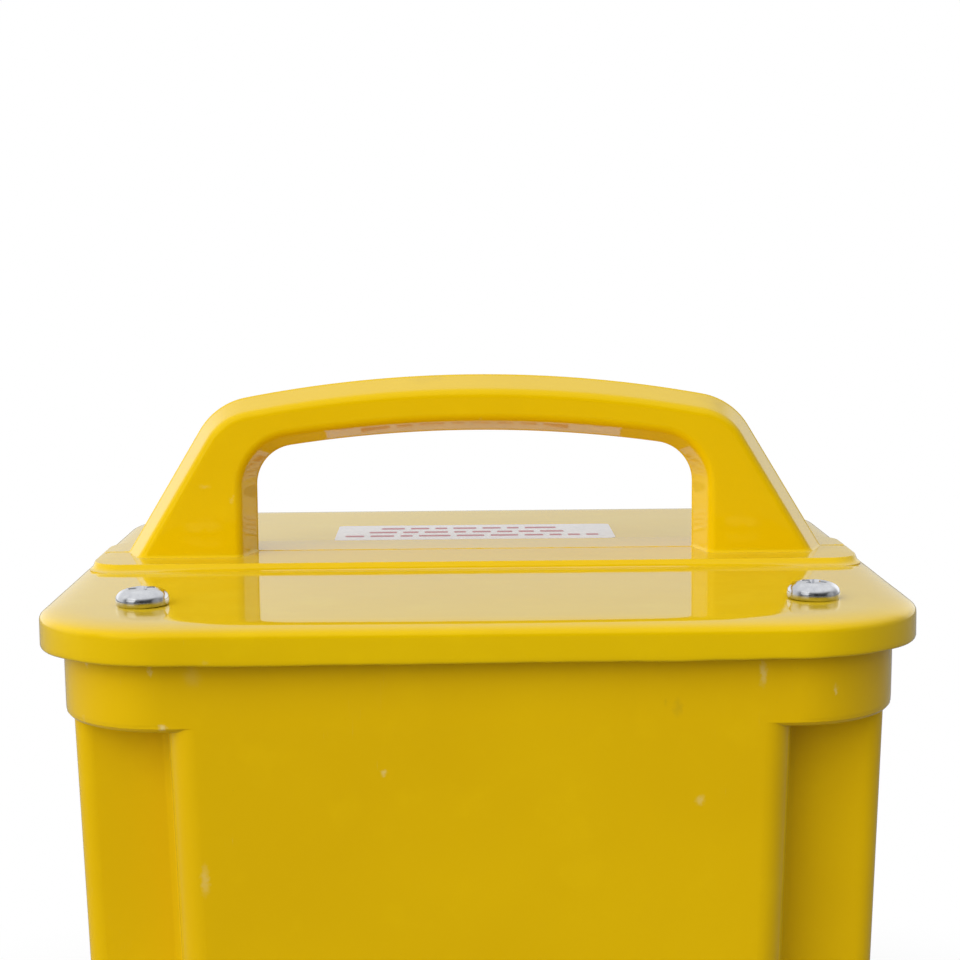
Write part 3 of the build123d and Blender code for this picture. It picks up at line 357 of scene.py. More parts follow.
# CAD piece: key of its material
PIECE_MATERIALS = {
    "body_shell": "box", "lid": "lid", "handle": "handle", "lid_gasket": "seal",
    "lid_inserts": "brass", "lid_label": "label", "lid_screws": "zinc",
    "handle_inserts": "brass", "handle_strap": "steel", "handle_screws": "steel",
    "rubber_feet": "rubber", "foot_screws": "zinc", "e_laminations": "lam",
    "i_laminations": "lam", "coil_former": "black", "primary_winding": "copper",
    "winding_insulation": "paper", "secondary_winding": "copper", "coil_wrap": "paper",
    "clamp_frames": "steel", "clamp_bolts": "steel", "clamp_nuts": "steel",
    "floor_bolts": "zinc", "floor_nuts": "steel", "terminal_block": "white",
    "terminal_screws": "brass", "earth_stud": "brass", "mains_leads": "lead",
    "secondary_leads": "lead", "socket_gaskets": "seal", "socket_housings": "outlet",
    "contact_carriers": "black", "socket_contacts": "brass", "left_flap": "outlet",
    "right_flap": "outlet", "left_flap_seal": "rubber", "right_flap_seal": "rubber",
    "flap_hinge_pins": "zinc", "flap_springs": "zinc", "socket_screws": "zinc",
    "socket_nuts": "steel", "breaker_body": "black", "breaker_ring_nut": "zinc",
    "reset_button": "red", "reset_spring": "steel", "rating_label": "plate",
    "gland_body": "black", "gland_seal": "rubber", "gland_dome_nut": "black",
    "gland_locknut": "black", "supply_cable": "cable", "plug_base": "plug",
    "plug_cover": "plug", "plug_pins": "brass", "plug_fuse": "white", "plug_screw": "zinc",
    "cable_grip": "black",
}
for piece, piece_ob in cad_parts.items():
    piece_ob.data.materials.clear()
    piece_ob.data.materials.append(MATERIALS[PIECE_MATERIALS[piece]])


# ------------------------------------------------------------------------------ mesh helpers
def add_mesh(name, verts, faces, material, angle=None):
    """Add a mesh given in metres to a piece's slot; angle (degrees) smooths it up to there."""
    mesh = bpy.data.meshes.new(name)
    mesh.from_pydata([Vector(v) for v in verts], [], faces)
    mesh.validate()
    work = bmesh.new()
    work.from_mesh(mesh)
    bmesh.ops.remove_doubles(work, verts=work.verts, dist=1e-7)
    bmesh.ops.recalc_face_normals(work, faces=work.faces)
    work.to_mesh(mesh)
    work.free()
    ob = bpy.data.objects.new(name, mesh)
    scene.collection.objects.link(ob)
    mesh.materials.append(MATERIALS[material])
    for face in mesh.polygons:
        face.use_smooth = angle is not None
    if angle is not None:
        mesh.set_sharp_from_angle(angle=math.radians(angle))
    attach(ob, "case")
    return ob


def add_loft(name, rings, material, angle):
    """Join closed rings of (x, y, z) in mm, all of one length, and close both ends."""
    count = len(rings[0])
    last = (len(rings) - 1) * count
    verts = [(x * MM, y * MM, z * MM) for ring in rings for x, y, z in ring]
    faces = []
    for start in range(0, last, count):
        for j in range(count):
            a, b = start + j, start + (j + 1) % count
            faces.append((a, b, b + count, a + count))
    faces.append(tuple(reversed(range(count))))
    faces.append(tuple(last + j for j in range(count)))
    return add_mesh(name, verts, faces, material, angle)


def rounded_rect(half_x, half_y, radius, corner_steps, x_steps, y_steps):
    """(x, y) points, counter-clockwise from the left end of the front side."""
    cx, cy = half_x - radius, half_y - radius
    # side start, side end, steps, centre of the corner after it, start angle of that corner
    sides = [((-cx, -half_y), (cx, -half_y), x_steps, (cx, -cy), -90),
             ((half_x, -cy), (half_x, cy), y_steps, (cx, cy), 0),
             ((cx, half_y), (-cx, half_y), x_steps, (-cx, cy), 90),
             ((-half_x, cy), (-half_x, -cy), y_steps, (-cx, -cy), 180)]
    points = []
    for start, end, steps, centre, angle in sides:
        for i in range(steps):
            t = i / steps
            points.append((start[0] + (end[0] - start[0]) * t, start[1] + (end[1] - start[1]) * t))
        for i in range(corner_steps):
            a = math.radians(angle + 90 * i / corner_steps)
            points.append((centre[0] + radius * math.cos(a), centre[1] + radius * math.sin(a)))
    return points


def wobble(x, y, scale, seed, z=0.0):
    return noise.noise(Vector((x * scale + seed, y * scale, z * scale)))


def clamp01(value):
    return max(0.0, min(1.0, value))


# ------------------------------------------------------------------------------ handle arch
LID_TOP = 280.0
FOOT_Z = LID_TOP + 2.0            # where the legs meet the base strip
HALF_WIDTH = 12.0                 # half the arch's width in Y
ARCH_TOP, ARCH_R = 339.2, 401.0   # outer arch: crown height and radius
UNDER_TOP, UNDER_R = 321.4, 412.0   # underside of the arch
FOOT_X = 112.8                    # outer edge of the foot
SHOULDER_X, SHOULDER_Z = 83.6, 330.4   # the outer leg line aims here
SHOULDER_R = 22.0                 # outer corner between leg and arch
OPENING_HALF, OPENING_R = 70.7, 13.0   # opening: half its length, corner radius
DRAFT = math.radians(20.0)        # slope of the walls from the parting line
FILLET = 3.0                      # wall to flat face
FLARE_R = 1.25                    # leg to strip
LEG_STEPS, CORNER_STEPS, ARCH_STEPS, FACE_STEPS = 14, 14, 26, 6
# heights above FOOT_Z of the lowest rings of a leg
LEG_HEIGHTS = [-0.9, -0.3, 0.0, 0.12, 0.3, 0.55, 0.85, 1.2, 1.7, 2.4, 3.4]
# ridge along the parting line: y, shift of the wall (negative is outwards)
PARTING_RIDGE = [(0.0, -0.12), (0.20, -0.12), (0.34, -0.05), (0.52, 0.0)]


def arc(centre, start, end, radius, steps):
    a0 = math.atan2(start[1] - centre[1], start[0] - centre[0])
    a1 = math.atan2(end[1] - centre[1], end[0] - centre[0])
    angles = [a0 + (a1 - a0) * i / steps for i in range(steps + 1)]
    return [(centre[0] + radius * math.cos(a), centre[1] + radius * math.sin(a)) for a in angles]


def leg(top_z, x_at):
    z0 = FOOT_Z + LEG_HEIGHTS[-1]
    heights = [FOOT_Z + h for h in LEG_HEIGHTS]
    heights += [z0 + (top_z - z0) * i / LEG_STEPS for i in range(1, LEG_STEPS + 1)]
    return [(x_at(z), z) for z in heights]


def handle_outline(inset):
    """Outer and inner (x, z) paths pulled in by inset, right (+X) foot to left, equal in number."""
    # outer leg line: its direction, outward normal and foot
    dir_x, dir_z = SHOULDER_X - FOOT_X, SHOULDER_Z - FOOT_Z
    length = math.hypot(dir_x, dir_z)
    dir_x, dir_z = dir_x / length, dir_z / length
    out_x, out_z = dir_z, -dir_x
    foot_x, foot_z = FOOT_X - out_x * inset, FOOT_Z - out_z * inset
    # shoulder circle, tangent to the leg and inside the arch
    shoulder_r, arch_r, arch_z = SHOULDER_R - inset, ARCH_R - inset, ARCH_TOP - ARCH_R
    line_x, line_z = foot_x - out_x * shoulder_r, foot_z - out_z * shoulder_r
    half_b = line_x * dir_x + (line_z - arch_z) * dir_z
    rest = line_x ** 2 + (line_z - arch_z) ** 2 - (arch_r - shoulder_r) ** 2
    t = -half_b + math.sqrt(half_b * half_b - rest)
    sh_x, sh_z = line_x + dir_x * t, line_z + dir_z * t
    leg_end = (sh_x + out_x * shoulder_r, sh_z + out_z * shoulder_r)
    reach = math.hypot(sh_x, sh_z - arch_z)
    arch_start = (sh_x / reach * arch_r, arch_z + (sh_z - arch_z) / reach * arch_r)
    # corner circle of the opening, tangent to its side and to the underside
    half, corner_r, under_r = OPENING_HALF + inset, OPENING_R + inset, UNDER_R + inset
    under_z = UNDER_TOP - UNDER_R
    co_x = half - corner_r
    co_z = under_z + math.sqrt((under_r - corner_r) ** 2 - co_x * co_x)
    reach = math.hypot(co_x, co_z - under_z)
    under_start = (co_x / reach * under_r, under_z + (co_z - under_z) / reach * under_r)

    outer = leg(leg_end[1], lambda z: foot_x + (z - foot_z) / dir_z * dir_x)
    outer += arc((sh_x, sh_z), leg_end, arch_start, shoulder_r, CORNER_STEPS)[1:]
    outer += arc((0, arch_z), arch_start, (0, arch_z + arch_r), arch_r, ARCH_STEPS)[1:]
    inner = leg(co_z, lambda z: half)
    inner += arc((co_x, co_z), (half, co_z), under_start, corner_r, CORNER_STEPS)[1:]
    inner += arc((0, under_z), under_start, (0, under_z + under_r), under_r, ARCH_STEPS)[1:]
    return [path + [(-x, z) for x, z in reversed(path[:-1])] for path in (outer, inner)]


def half_wall(share, side_y):
    """Section of one wall, from its middle to the flat face at side_y (-1 or 1).

    Each point is: share from outer path (0) to inner (1), inset, y, and the outward
    normal's parts across the wall and along Y."""
    slope, cos_d, sin_d = math.tan(DRAFT), math.cos(DRAFT), math.sin(DRAFT)
    points = [(y * slope + shift, y, 1.0, 0.0) for y, shift in PARTING_RIDGE]
    wall_y = HALF_WIDTH - FILLET * (1 - sin_d)
    for q in (0.13, 0.28, 0.45, 0.64, 0.84):
        points.append((wall_y * q * slope, wall_y * q, cos_d, sin_d))
    for i in range(11):
        a = DRAFT + (math.pi / 2 - DRAFT) * i / 10
        points.append((wall_y * slope + FILLET * (cos_d - math.cos(a)),
                       HALF_WIDTH - FILLET + FILLET * math.sin(a), math.cos(a), math.sin(a)))
    return [(share, inset, y * side_y, across, along * side_y)
            for inset, y, across, along in points]


def handle_rings():
    face_inset = half_wall(0, 1)[-1][1]
    shares = [k / FACE_STEPS for k in range(1, FACE_STEPS)]
    section = half_wall(0, -1)[::-1] + half_wall(0, 1)[1:]
    section += [(s, face_inset, HALF_WIDTH, 0.0, 1.0) for s in shares]
    section += half_wall(1, 1)[::-1] + half_wall(1, -1)[1:]
    section += [(1 - s, face_inset, -HALF_WIDTH, 0.0, -1.0) for s in shares]
    paths = [handle_outline(point[1]) for point in section]
    rings = []
    for i in range(len(paths[0][0])):
        ring = []
        for (share, _, y, across, along), (outer, inner) in zip(section, paths):
            x = outer[i][0] + (inner[i][0] - outer[i][0]) * share
            z = outer[i][1] + (inner[i][1] - outer[i][1]) * share
            # small flare where the leg runs into the strip
            h = z - FOOT_Z
            if h < FLARE_R and abs(x) > 60:
                flare = FLARE_R - math.sqrt(max(FLARE_R ** 2 - (FLARE_R - max(h, 0.0)) ** 2, 0.0))
                x += math.copysign(flare * across, x) * (1 - 2 * share)
                y += flare * along
            ring.append((x, y, z))
        rings.append(ring)
    return rings


# ------------------------------------------------------------------------------ base strip
STRIP_HALF_X, STRIP_HALF_Y, STRIP_R = 121.2, 23.9, 10.0
STRIP_RISE, STRIP_CROWN = 2.03, 0.42   # top above the lid, extra height along the middle
# side from the buried edge up to the top: outwards, height above the lid
STRIP_SIDE = [
    (4.4, -1.30), (4.4, -0.40), (4.4, -0.03), (3.5, 0.074), (2.8, 0.20), (2.2, 0.38),
    (1.7, 0.61), (1.3, 0.87), (0.92, 1.17), (0.60, 1.45), (0.34, 1.70), (0.14, 1.88),
    (0.02, 1.97), (-0.10, 2.02), (-0.30, 2.035), (-0.60, 2.035)]
STRIP_STEPS = dict(corner_steps=10, x_steps=90, y_steps=12)


def strip_rings():
    """The raised base strip: a little crowned, its side running out to the lid in a cove."""
    rings = []
    for out, h in STRIP_SIDE:
        ring = []
        out_x = out * 0.24   # the cove is narrower at the ends
        low = min(1, h)
        for x, y in rounded_rect(STRIP_HALF_X + out_x, STRIP_HALF_Y + out, STRIP_R + out_x,
                                 **STRIP_STEPS):
            edge = wobble(x, y, scale=0.09, seed=3.7) * 0.16
            edge += wobble(x, y, scale=0.45, seed=9.1) * 0.05
            z = LID_TOP + h + 0.05 * wobble(x, y, scale=0.2, seed=5.0) * low
            if abs(y) > STRIP_HALF_Y - STRIP_R - 1:
                y *= (STRIP_HALF_Y + edge * low) / STRIP_HALF_Y
            ring.append((x, y, z))
        rings.append(ring)
    # the top, in rings that shrink towards the middle line
    inset = -STRIP_SIDE[-1][0]
    top = rounded_rect(STRIP_HALF_X - inset, STRIP_HALF_Y - inset, STRIP_R - inset, **STRIP_STEPS)
    spine = STRIP_HALF_X - STRIP_HALF_Y
    for t in (0.93, 0.80, 0.62, 0.44, 0.26, 0.12, 0.03):
        ring = []
        for x, y in top:
            near = max(-spine, min(spine, x))
            crown = STRIP_CROWN * (1 - abs(y * t) / STRIP_HALF_Y) - STRIP_CROWN * 0.0254
            ring.append((near + (x - near) * t, y * t, LID_TOP + STRIP_RISE + crown))
        rings.append(ring)
    return rings


# ------------------------------------------------------------------------------ flash beads
BEAD_HALF, BEAD_HEIGHT = 0.36, 0.18
BEAD_Z = LID_TOP + STRIP_RISE + STRIP_CROWN - 0.02
# share of the half width, share of the height; the two ends are buried by BEAD_SINK
BEAD_ARC = [(-0.8, 0.45), (-0.45, 0.85), (0, 1), (0.45, 0.85), (0.8, 0.45)]
BEAD_SINK = 0.05
BEAD_RUNS = [("left", -120.4, -112.2), ("mid", -71.2, 71.2), ("right", 112.2, 120.4)]


def bead_rings(x0, x1):
    """A low uneven half-round bead along the middle of the strip."""
    steps = max(6, int((x1 - x0) / 1.2))
    rings = []
    for i in range(steps + 1):
        x = x0 + (x1 - x0) * i / steps
        uneven = 0.75 + 0.5 * wobble(x, 0, scale=0.35, seed=21.0)
        uneven += 0.25 * wobble(x, 0, scale=1.4, seed=2.0)
        ring = [(x, BEAD_HALF * w, BEAD_Z + BEAD_HEIGHT * h * uneven) for w, h in BEAD_ARC]
        rings.append([(x, -BEAD_HALF, BEAD_Z - BEAD_SINK), *ring,
                      (x, BEAD_HALF, BEAD_Z - BEAD_SINK)])
    return rings


# ------------------------------------------------------------------------------ lid
LID_HALF_X, LID_HALF_Y, LID_R = 125.0, 120.0, 40.0
LID_BOTTOM = 269.5
# from inside the rim, round its lower edge, up and over the shoulder: outwards, z
LID_PROFILE = [
    (-6.2, 275.0), (-6.2, 272.0), (-6.2, LID_BOTTOM + 0.5), (-6.1, LID_BOTTOM + 0.12),
    (-5.9, LID_BOTTOM), (-3.2, LID_BOTTOM), (-0.95, LID_BOTTOM), (-0.45, LID_BOTTOM + 0.10),
    (-0.14, LID_BOTTOM + 0.36), (0.0, LID_BOTTOM + 0.85), (0.0, LID_BOTTOM + 2.0), (0.0, 273.2),
    (0.0, 275.6), (0.0, 276.6), (-0.03, 277.1), (-0.14, 277.55), (-0.42, 278.02),
    (-0.95, 278.47), (-1.75, 278.86), (-2.9, 279.20), (-4.3, 279.48), (-6.0, 279.71),
    (-8.0, 279.88), (-10.0, 279.96), (-12.0, 279.99), (-14.0, LID_TOP), (-18.0, LID_TOP)]


def lid_rings():
    """The lid, its lower edge wavy and its sides slightly uneven."""
    rings = []
    for out, z in LID_PROFILE:
        ring = []
        low = clamp01((274.5 - z) / 3.0)
        uneven = 0.10 if out > -5 and z < 279.5 else 0.0
        for x, y in rounded_rect(LID_HALF_X + out, LID_HALF_Y + out, LID_R + out,
                                 corner_steps=18, x_steps=60, y_steps=44):
            lift = low * (0.55 * wobble(x, y, scale=0.020, seed=4.0)
                          + 0.28 * wobble(x, y, scale=0.085, seed=8.0) + 0.30 * x / LID_HALF_X)
            push = uneven * wobble(x, y, scale=0.05, seed=1.5, z=z * 0.5)
            ring.append((x + push * x / LID_HALF_X, y + push * y / LID_HALF_Y, z + lift))
        rings.append(ring)
    return rings


grip = add_loft("handle_grip", handle_rings(), "handle", angle=50)
add_loft("handle_strip", strip_rings(), "handle", angle=60)
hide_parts("handle")
for tag, run_start, run_end in BEAD_RUNS:
    add_loft("handle_flash_" + tag, bead_rings(run_start, run_end), "handle", angle=60)
lid_top = add_loft("lid_moulding", lid_rings(), "lid", angle=60)
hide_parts("lid")

# ------------------------------------------------------------------------------ collar corners
COLLAR_X, COLLAR_Y, COLLAR_R = 86.0, 80.4, 32.0   # centre and radius of the corner
COLLAR_Z0, COLLAR_Z1 = 249.2, 269.8
COLLAR_SINK, COLLAR_FLARE = -0.12, 0.44   # offset at the ends, extra offset at the corner
LIP_R = 2.6
# outer face from the top down: share of the flare, z
COLLAR_FACE = [(1.0, COLLAR_Z1), (0.96, 266.0), (0.88, 261.5), (0.76, 257.0), (0.66, 253.6),
               (0.60, 252.2)]


def collar_path():
    """(x, y, normal x, normal y) round the +X +Y corner, with a short straight at each end."""
    path = [(x, COLLAR_Y + COLLAR_R, 0.0, 1.0) for x in (75.0, 77.0, 79.0, 81.0, 83.5)]
    for degrees in range(0, 91, 3):
        nx, ny = math.sin(math.radians(degrees)), math.cos(math.radians(degrees))
        path.append((COLLAR_X + COLLAR_R * nx, COLLAR_Y + COLLAR_R * ny, nx, ny))
    return path + [(COLLAR_X + COLLAR_R, y, 1.0, 0.0)
                   for y in (78.5, 76.5, 74.5, 72.5, 70.5, 68.5)]


def collar_rings(sign_x, sign_y):
    """The rounded lower lip round one corner; its ends sink into the flush panels."""
    rings = []
    for x, y, nx, ny in collar_path():
        fade_x = clamp01((x - 78.5) / 18.0) if y > COLLAR_Y else 1.0
        fade_y = clamp01((y - 70.0) / 12.0) if x > COLLAR_X + COLLAR_R * 0.8 else 1.0
        flare = COLLAR_FLARE
        for fade in (fade_x, fade_y):
            flare *= fade * fade * (3 - 2 * fade)
        section = [(COLLAR_SINK + flare * share, z) for share, z in COLLAR_FACE]
        lip = section[-1][0]
        for degrees in range(12, 91, 13):
            a = math.radians(degrees)
            section.append((lip - LIP_R * (1 - math.cos(a)),
                            COLLAR_Z0 + LIP_R - LIP_R * math.sin(a)))
        section.append((lip - LIP_R - 1.0, COLLAR_Z0))
        ring = [(x + nx * out, y + ny * out, z) for out, z in section]
        # back of the section, inside the box wall
        back_x, back_y = min(x, 113.2), min(y, 90.4)
        ring += [(back_x, back_y, COLLAR_Z0), (back_x, back_y, COLLAR_Z0 + 2.4),
                 (x - nx * 3.8, y - ny * 3.8, COLLAR_Z0 + 2.6),
                 (x - nx * 1.5, y - ny * 1.5, COLLAR_Z1)]
        rings.append([(sign_x * px, sign_y * py, z) for px, py, z in ring])
    return rings


for tag, side_x, side_y in (("front_left", -1, -1), ("front_right", 1, -1),
                            ("rear_left", -1, 1), ("rear_right", 1, 1)):
    add_loft("collar_edge_" + tag, collar_rings(side_x, side_y), "box", angle=40)

# ------------------------------------------------------------------------------ lid screws
SCREW_X, SCREW_Y = 95.6, 83.3
# side in x, side in y, turn of the cross in degrees
SCREWS = [(-1, -1, 17), (1, -1, 62), (-1, 1, 35), (1, 1, 80)]
SCREW_LEAN = 1.2   # degrees
HEAD_SEGMENTS = 72
# radius, height
HEAD_PROFILE = [
    (0.0, 0.0), (7.10, 0.0), (7.40, 0.15), (7.56, 0.5), (7.62, 1.1), (7.60, 1.75), (7.48, 2.4),
    (7.22, 3.0), (6.80, 3.55), (6.2, 4.02), (5.45, 4.38), (4.6, 4.62), (3.6, 4.76), (2.4, 4.83),
    (1.2, 4.86), (0.0, 4.87)]
# tapered slots of the recess: angle, then (z, half width, half length) at the bottom and top
RECESS = [(0, (1.9, 0.75, 1.7), (5.4, 1.15, 4.3)), (45, (3.4, 0.25, 1.0), (5.4, 0.40, 2.4))]


def revolve(profile, segments):
    """Turn (radius, z) in mm about Z; both ends of the profile lie on the axis."""
    verts, faces, rings = [], [], []
    for radius, z in profile:
        radius, z = radius * MM, z * MM
        count = segments if radius else 1
        rings.append(range(len(verts), len(verts) + count))
        for i in range(count):
            a = 2 * math.pi * i / segments
            verts.append((radius * math.cos(a), radius * math.sin(a), z))
    for low, high in zip(rings, rings[1:]):
        for i in range(segments):
            j = (i + 1) % segments
            if len(low) == 1:
                faces.append((low[0], high[j], high[i]))
            elif len(high) == 1:
                faces.append((low[i], low[j], high[0]))
            else:
                faces.append((low[i], low[j], high[j], high[i]))
    return verts, faces


def temp_object(name, verts, faces):
    mesh = bpy.data.meshes.new(name)
    mesh.from_pydata([Vector(v) for v in verts], [], faces)
    work = bmesh.new()
    work.from_mesh(mesh)
    bmesh.ops.recalc_face_normals(work, faces=work.faces)
    work.to_mesh(mesh)
    work.free()
    ob = bpy.data.objects.new(name, mesh)
    scene.collection.objects.link(ob)
    return ob


def cut(ob, cutter):
    mod = ob.modifiers.new("cut", "BOOLEAN")
    mod.operation = "DIFFERENCE"
    mod.object = cutter
    mod.solver = "EXACT"
    depsgraph = bpy.context.evaluated_depsgraph_get()
    mesh = bpy.data.meshes.new_from_object(ob.evaluated_get(depsgraph))
    ob.modifiers.clear()
    ob.data = mesh
    bpy.data.objects.remove(cutter)


def slot_cutter(degrees, bottom, top):
    c, s = math.cos(math.radians(degrees)), math.sin(math.radians(degrees))
    verts = []
    for z, w, l in (bottom, top):
        for x, y in ((-l, -w), (l, -w), (l, w), (-l, w)):
            verts.append(((x * c - y * s) * MM, (x * s + y * c) * MM, z * MM))
    faces = [(0, 3, 2, 1), (4, 5, 6, 7), (0, 1, 5, 4), (1, 2, 6, 5), (2, 3, 7, 6), (3, 0, 4, 7)]
    return temp_object("cutter", verts, faces)


def pan_head():
    head = temp_object("screw_tmp", *revolve(HEAD_PROFILE, HEAD_SEGMENTS))
    for degrees, bottom, top in RECESS:
        for turn in (0, 90):
            cut(head, slot_cutter(degrees + turn, bottom, top))
    return head


def add_lid_screws():
    head = pan_head()
    joined = bmesh.new()
    for side_x, side_y, turn in SCREWS:
        one = head.data.copy()
        place = Matrix.Translation((side_x * SCREW_X * MM, side_y * SCREW_Y * MM, LID_TOP * MM))
        lean = Matrix.Rotation(math.radians(SCREW_LEAN * side_x), 4, "Y")
        one.transform(place @ lean @ Matrix.Rotation(math.radians(turn), 4, "Z"))
        joined.from_mesh(one)
    mesh = bpy.data.meshes.new("lid_screw_heads")
    joined.to_mesh(mesh)
    joined.free()
    heads = bpy.data.objects.new("lid_screw_heads", mesh)
    scene.collection.objects.link(heads)
    mesh.materials.append(MATERIALS["zinc"])
    for face in mesh.polygons:
        face.use_smooth = True
    mesh.set_sharp_from_angle(angle=math.radians(38))
    bpy.data.objects.remove(head)
    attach(heads, "case")
    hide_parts("lid_screws")


add_lid_screws()

# ------------------------------------------------------------------------------ printed bars
BAR_LENGTHS = (4.2, 6.5, 8.2, 9.6, 5.4, 11.0)
BAR_GAP, BAR_THICK, BAR_CHAMFER = 2.2, 0.03, 0.35
draw = random.Random(4)


def add_bars(name, rows, height, place, material):
    """Rows of bars that stand for lettering; a row is (start, end, middle height).

    place turns (along, up, lift) in mm into a point in metres."""
    verts, faces = [], []
    half, cham = height / 2, BAR_CHAMFER
    for x, row_end, y in rows:
        while x < row_end - 2:
            length = min(draw.choice(BAR_LENGTHS), row_end - x)
            end, low, high = x + length, y - half, y + half
            ring = [(x + cham, low), (end - cham, low), (end, low + cham), (end, high - cham),
                    (end - cham, high), (x + cham, high), (x, high - cham), (x, low + cham)]
            b = len(verts)
            for lift in (0.0, BAR_THICK):
                verts += [place(px, py, lift) for px, py in ring]
            faces.append(tuple(reversed(range(b, b + 8))))
            faces.append(tuple(range(b + 8, b + 16)))
            for i in range(8):
                j = (i + 1) % 8
                faces.append((b + i, b + j, b + 8 + j, b + 8 + i))
            x += length + BAR_GAP
    add_mesh(name, verts, faces, material)


label_lo, label_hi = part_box("lid_label")
label_x = (label_lo.x + label_hi.x) / 2 / MM
label_y = (label_lo.y + label_hi.y) / 2 / MM
label_z = label_hi.z / MM - 0.005


def on_label(x, y, lift):
    return (x * MM, y * MM, (label_z + lift) * MM)


# start, end and y of each row, from the middle of the label
LABEL_ROWS = [(-45, 44, -8.6), (-37, 35, 0.2), (-33, 33, 9.2)]
add_bars("lid_label_bars", [(label_x + a, label_x + b, label_y + y) for a, b, y in LABEL_ROWS],
         3.4, on_label, "ink")

# the rating plate leans with the box's wall
PLATE_SLOPE = math.tan(math.radians(1.6))
plate_lo, plate_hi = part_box("rating_label")
plate_x0, plate_x1 = plate_lo.x / MM, plate_hi.x / MM
plate_z0, plate_z1 = plate_lo.z / MM, plate_hi.z / MM
plate_w, plate_h = plate_x1 - plate_x0, plate_z1 - plate_z0


def on_plate(x, z, lift):
    y = plate_hi.y / MM - (plate_z1 - z) * PLATE_SLOPE + lift
    return (x * MM, y * MM, z * MM)


def add_plate_rows():
    """Two columns of bars; positions and lengths are shares of the plate's size."""
    rows = []
    for i, lengths in enumerate(((0.30, 0.36), (0.24, 0.30), (0.34, 0.22), (0.27, 0.33))):
        z = plate_z1 - plate_h * (0.36 + 0.155 * i)
        for column, length in zip((0.07, 0.54), lengths):
            start = plate_x0 + plate_w * column
            rows.append((start, start + plate_w * length, z))
    add_bars("rating_row_bars", rows, plate_h * 0.055, on_plate, "print")


def add_plate_border():
    """A thin raised frame just inside the plate's edge."""
    verts, faces = [], []
    for lift in (-0.01, 0.04):
        for inset in (1.2, 1.75):
            x0, x1 = plate_x0 + inset, plate_x1 - inset
            z0, z1 = plate_z0 + inset, plate_z1 - inset
            verts += [on_plate(x, z, lift) for x, z in ((x0, z0), (x1, z0), (x1, z1), (x0, z1))]
    for i in range(4):
        j = (i + 1) % 4
        faces += [(i, j, 4 + j, 4 + i), (8 + i, 8 + j, 12 + j, 12 + i),
                  (i, j, 8 + j, 8 + i), (4 + i, 4 + j, 12 + j, 12 + i)]
    add_mesh("rating_border", verts, faces, "print")


title_row = (plate_x0 + plate_w * 0.28, plate_x1 - plate_w * 0.28, plate_z1 - plate_h * 0.17)
add_bars("rating_title_bars", [title_row], plate_h * 0.10, on_plate, "print")
add_plate_rows()
add_plate_border()

# ------------------------------------------------------------------------------ camera
CAM_PLACE = (-6.19, -646.0, 381.16)
CAM_YAW, CAM_PITCH, CAM_ROLL = 0.0122, 0.1175, -0.0081   # radians: to +X, down, about the view
CAM_LENS, CAM_SENSOR = 75.0825, 36.0


def add_camera():
    data = bpy.data.cameras.new("camera")
    camera = bpy.data.objects.new("camera", data)
    scene.collection.objects.link(camera)
    data.sensor_width = CAM_SENSOR
    data.lens = CAM_LENS
    cos_yaw, sin_yaw = math.cos(CAM_YAW), math.sin(CAM_YAW)
    cos_pitch, sin_pitch = math.cos(CAM_PITCH), math.sin(CAM_PITCH)
    cos_roll, sin_roll = math.cos(CAM_ROLL), math.sin(CAM_ROLL)
    forward = Vector((sin_yaw * cos_pitch, cos_yaw * cos_pitch, -sin_pitch))
    right = Vector((cos_yaw, -sin_yaw, 0))
    up = right.cross(forward)
    axes = (right * cos_roll + up * sin_roll, -right * sin_roll + up * cos_roll, -forward)
    place = Matrix.Translation([v * MM for v in CAM_PLACE])
    camera.matrix_world = place @ Matrix(axes).transposed().to_4x4()
    data.clip_start = 0.02
    data.clip_end = 60
    scene.camera = camera


add_camera()
scene.view_settings.view_transform = "Standard"
scene.view_settings.look = "None"

# ------------------------------------------------------------------------------ floor
FLOOR_HALF = 14.0            # metres
FLOOR_FADE = (0.19, 0.52)    # metres from the middle: shaded floor to pure white


def floor_material():
    """White to the camera, fading to plain white away from the case; darker to other rays."""
    material = bpy.data.materials.new("floor_white")
    material.use_nodes = True
    graph = Graph(material.node_tree, "ShaderNodeOutputMaterial")
    seen = graph.node("ShaderNodeLightPath").outputs["Is Camera Ray"]
    coords = graph.node("ShaderNodeTexCoord").outputs["Object"]
    color = graph.mix(seen, (0.24, 0.24, 0.24), (0.86, 0.86, 0.855))
    shaded = graph.node("ShaderNodeBsdfPrincipled", {"Base Color": color, "Roughness": 0.55})
    white = graph.node("ShaderNodeEmission", {0: (1, 1, 1), 1: 1.0})
    fade = graph.ramp(graph.vec("LENGTH", coords, out=1), FLOOR_FADE, smooth=True)
    share = graph.math("MULTIPLY", fade, seen)
    surface = graph.mix_shader(share, shaded.outputs[0], white.outputs[0])
    graph.put(graph.output.inputs[0], surface)
    return material


def add_floor():
    material = floor_material()
    mesh = bpy.data.meshes.new("floor")
    corners = [(x * FLOOR_HALF, y * FLOOR_HALF, 0) for x, y in ((-1, -1), (1, -1), (1, 1), (-1, 1))]
    mesh.from_pydata(corners, [], [(0, 1, 2, 3)])
    floor = bpy.data.objects.new("floor", mesh)
    scene.collection.objects.link(floor)
    mesh.materials.append(material)


add_floor()


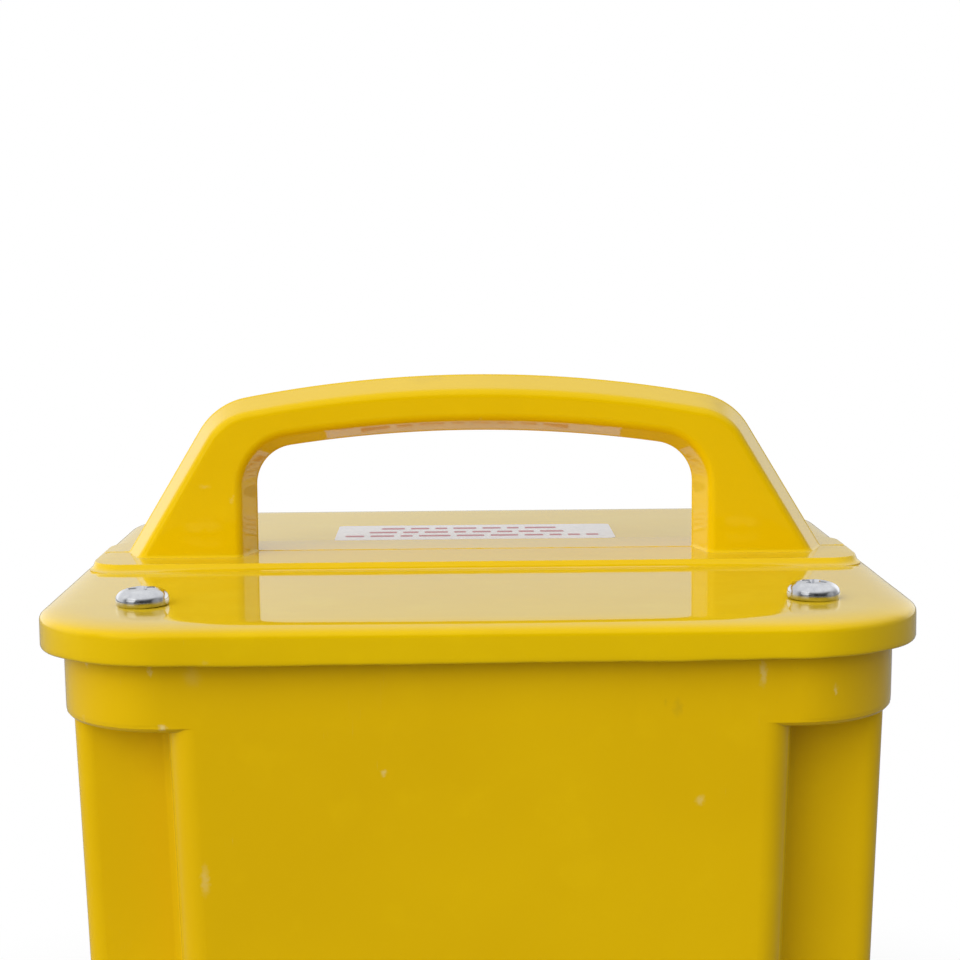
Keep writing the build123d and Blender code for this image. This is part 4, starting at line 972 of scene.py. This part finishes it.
# ------------------------------------------------------------------------------ world
def build_world():
    """White to the camera; mirror rays see a bright room, other rays a softer light."""
    world = bpy.data.worlds.new("studio")
    scene.world = world
    world.use_nodes = True
    graph = Graph(world.node_tree, "ShaderNodeOutputWorld")
    rays = graph.node("ShaderNodeLightPath").outputs
    direction = graph.node("ShaderNodeTexCoord").outputs["Generated"]
    dir_x, dir_y, dir_z = graph.node("ShaderNodeSeparateXYZ", {0: direction}).outputs

    def times(a, b):
        return graph.math("MULTIPLY", a, b)

    def plus(a, b):
        return graph.math("ADD", a, b)

    def inverse(a):
        return graph.math("SUBTRACT", 1.0, a)

    def rise(value, start, end):
        return graph.ramp(value, (start, end), smooth=True)

    def lobe(towards, inner, outer, amount):
        """A soft round patch of light; inner and outer are its angles in degrees."""
        along = graph.vec("DOT_PRODUCT", direction, Vector(towards).normalized(), out=1)
        return times(rise(along, math.cos(math.radians(outer)), math.cos(math.radians(inner))),
                     amount)

    left = times(rise(times(dir_x, -1.0), start=-0.10, end=0.75), 0.50)
    back = times(rise(dir_y, start=-0.1, end=0.8), 0.40)
    high = rise(dir_z, start=0.16, end=0.72)
    # softer light: dim low down, with a broad key from the front left
    soft_low = times(plus(plus(times(left, 1.0), back), 0.28), inverse(high))
    key = lobe((-0.57, -0.72, 0.40), inner=16, outer=50, amount=1.84)
    soft = plus(plus(soft_low, times(high, 0.72)), key)
    # the room seen in reflections: dark low at the front, light overhead and behind
    low = times(plus(plus(left, back), 0.30), inverse(high))
    front_low = times(rise(dir_y, start=0.05, end=-0.45), rise(dir_z, start=0.80, end=0.34))
    room = plus(low, times(high, 1.05))
    room = times(room, inverse(times(front_low, 0.80)))
    # bright patches near the horizon: direction, inner and outer angle, amount
    for patch in (((0.60, 0.78, 0.12), 10, 26, 0.65), ((-0.60, 0.78, 0.12), 10, 26, 0.25),
                  ((-0.64, -0.77, 0.12), 8, 22, 0.32), ((0.92, -0.35, 0.10), 8, 24, 0.35)):
        room = plus(room, lobe(*patch))
    # two dim patches where the camera and its stand would be
    for patch in (((0.04, -1.0, 0.22), 6, 11, 0.85), ((-0.42, -0.9, 0.10), 3, 7, 0.85)):
        room = times(room, inverse(lobe(*patch)))
    strength = graph.node("ShaderNodeMix", {0: rays["Is Glossy Ray"], 2: soft, 3: room})
    studio = graph.node("ShaderNodeBackground", {0: (0.985, 0.99, 1.0), 1: strength.outputs[0]})
    white = graph.node("ShaderNodeBackground", {0: (1, 1, 1)})
    surface = graph.mix_shader(rays["Is Camera Ray"], studio.outputs[0], white.outputs[0])
    graph.put(graph.output.inputs[0], surface)


build_world()


# ------------------------------------------------------------------------------ key light
def add_area_light(name, place, target, width, height, power, color):
    """A rectangular light aimed at a target; places and sizes in metres, power in watts."""
    data = bpy.data.lights.new(name, "AREA")
    data.shape = "RECTANGLE"
    data.size = width
    data.size_y = height
    data.energy = power
    data.color = color
    light = bpy.data.objects.new(name, data)
    scene.collection.objects.link(light)
    light.location = place
    light.rotation_mode = "QUATERNION"
    light.rotation_quaternion = (Vector(target) - Vector(place)).to_track_quat("-Z", "Y")


add_area_light("key_left", place=(-1.5, -1.5, 1.25), target=(0, 0, 0.25), width=1.5, height=1.3,
               power=4, color=(1.0, 0.995, 0.985))
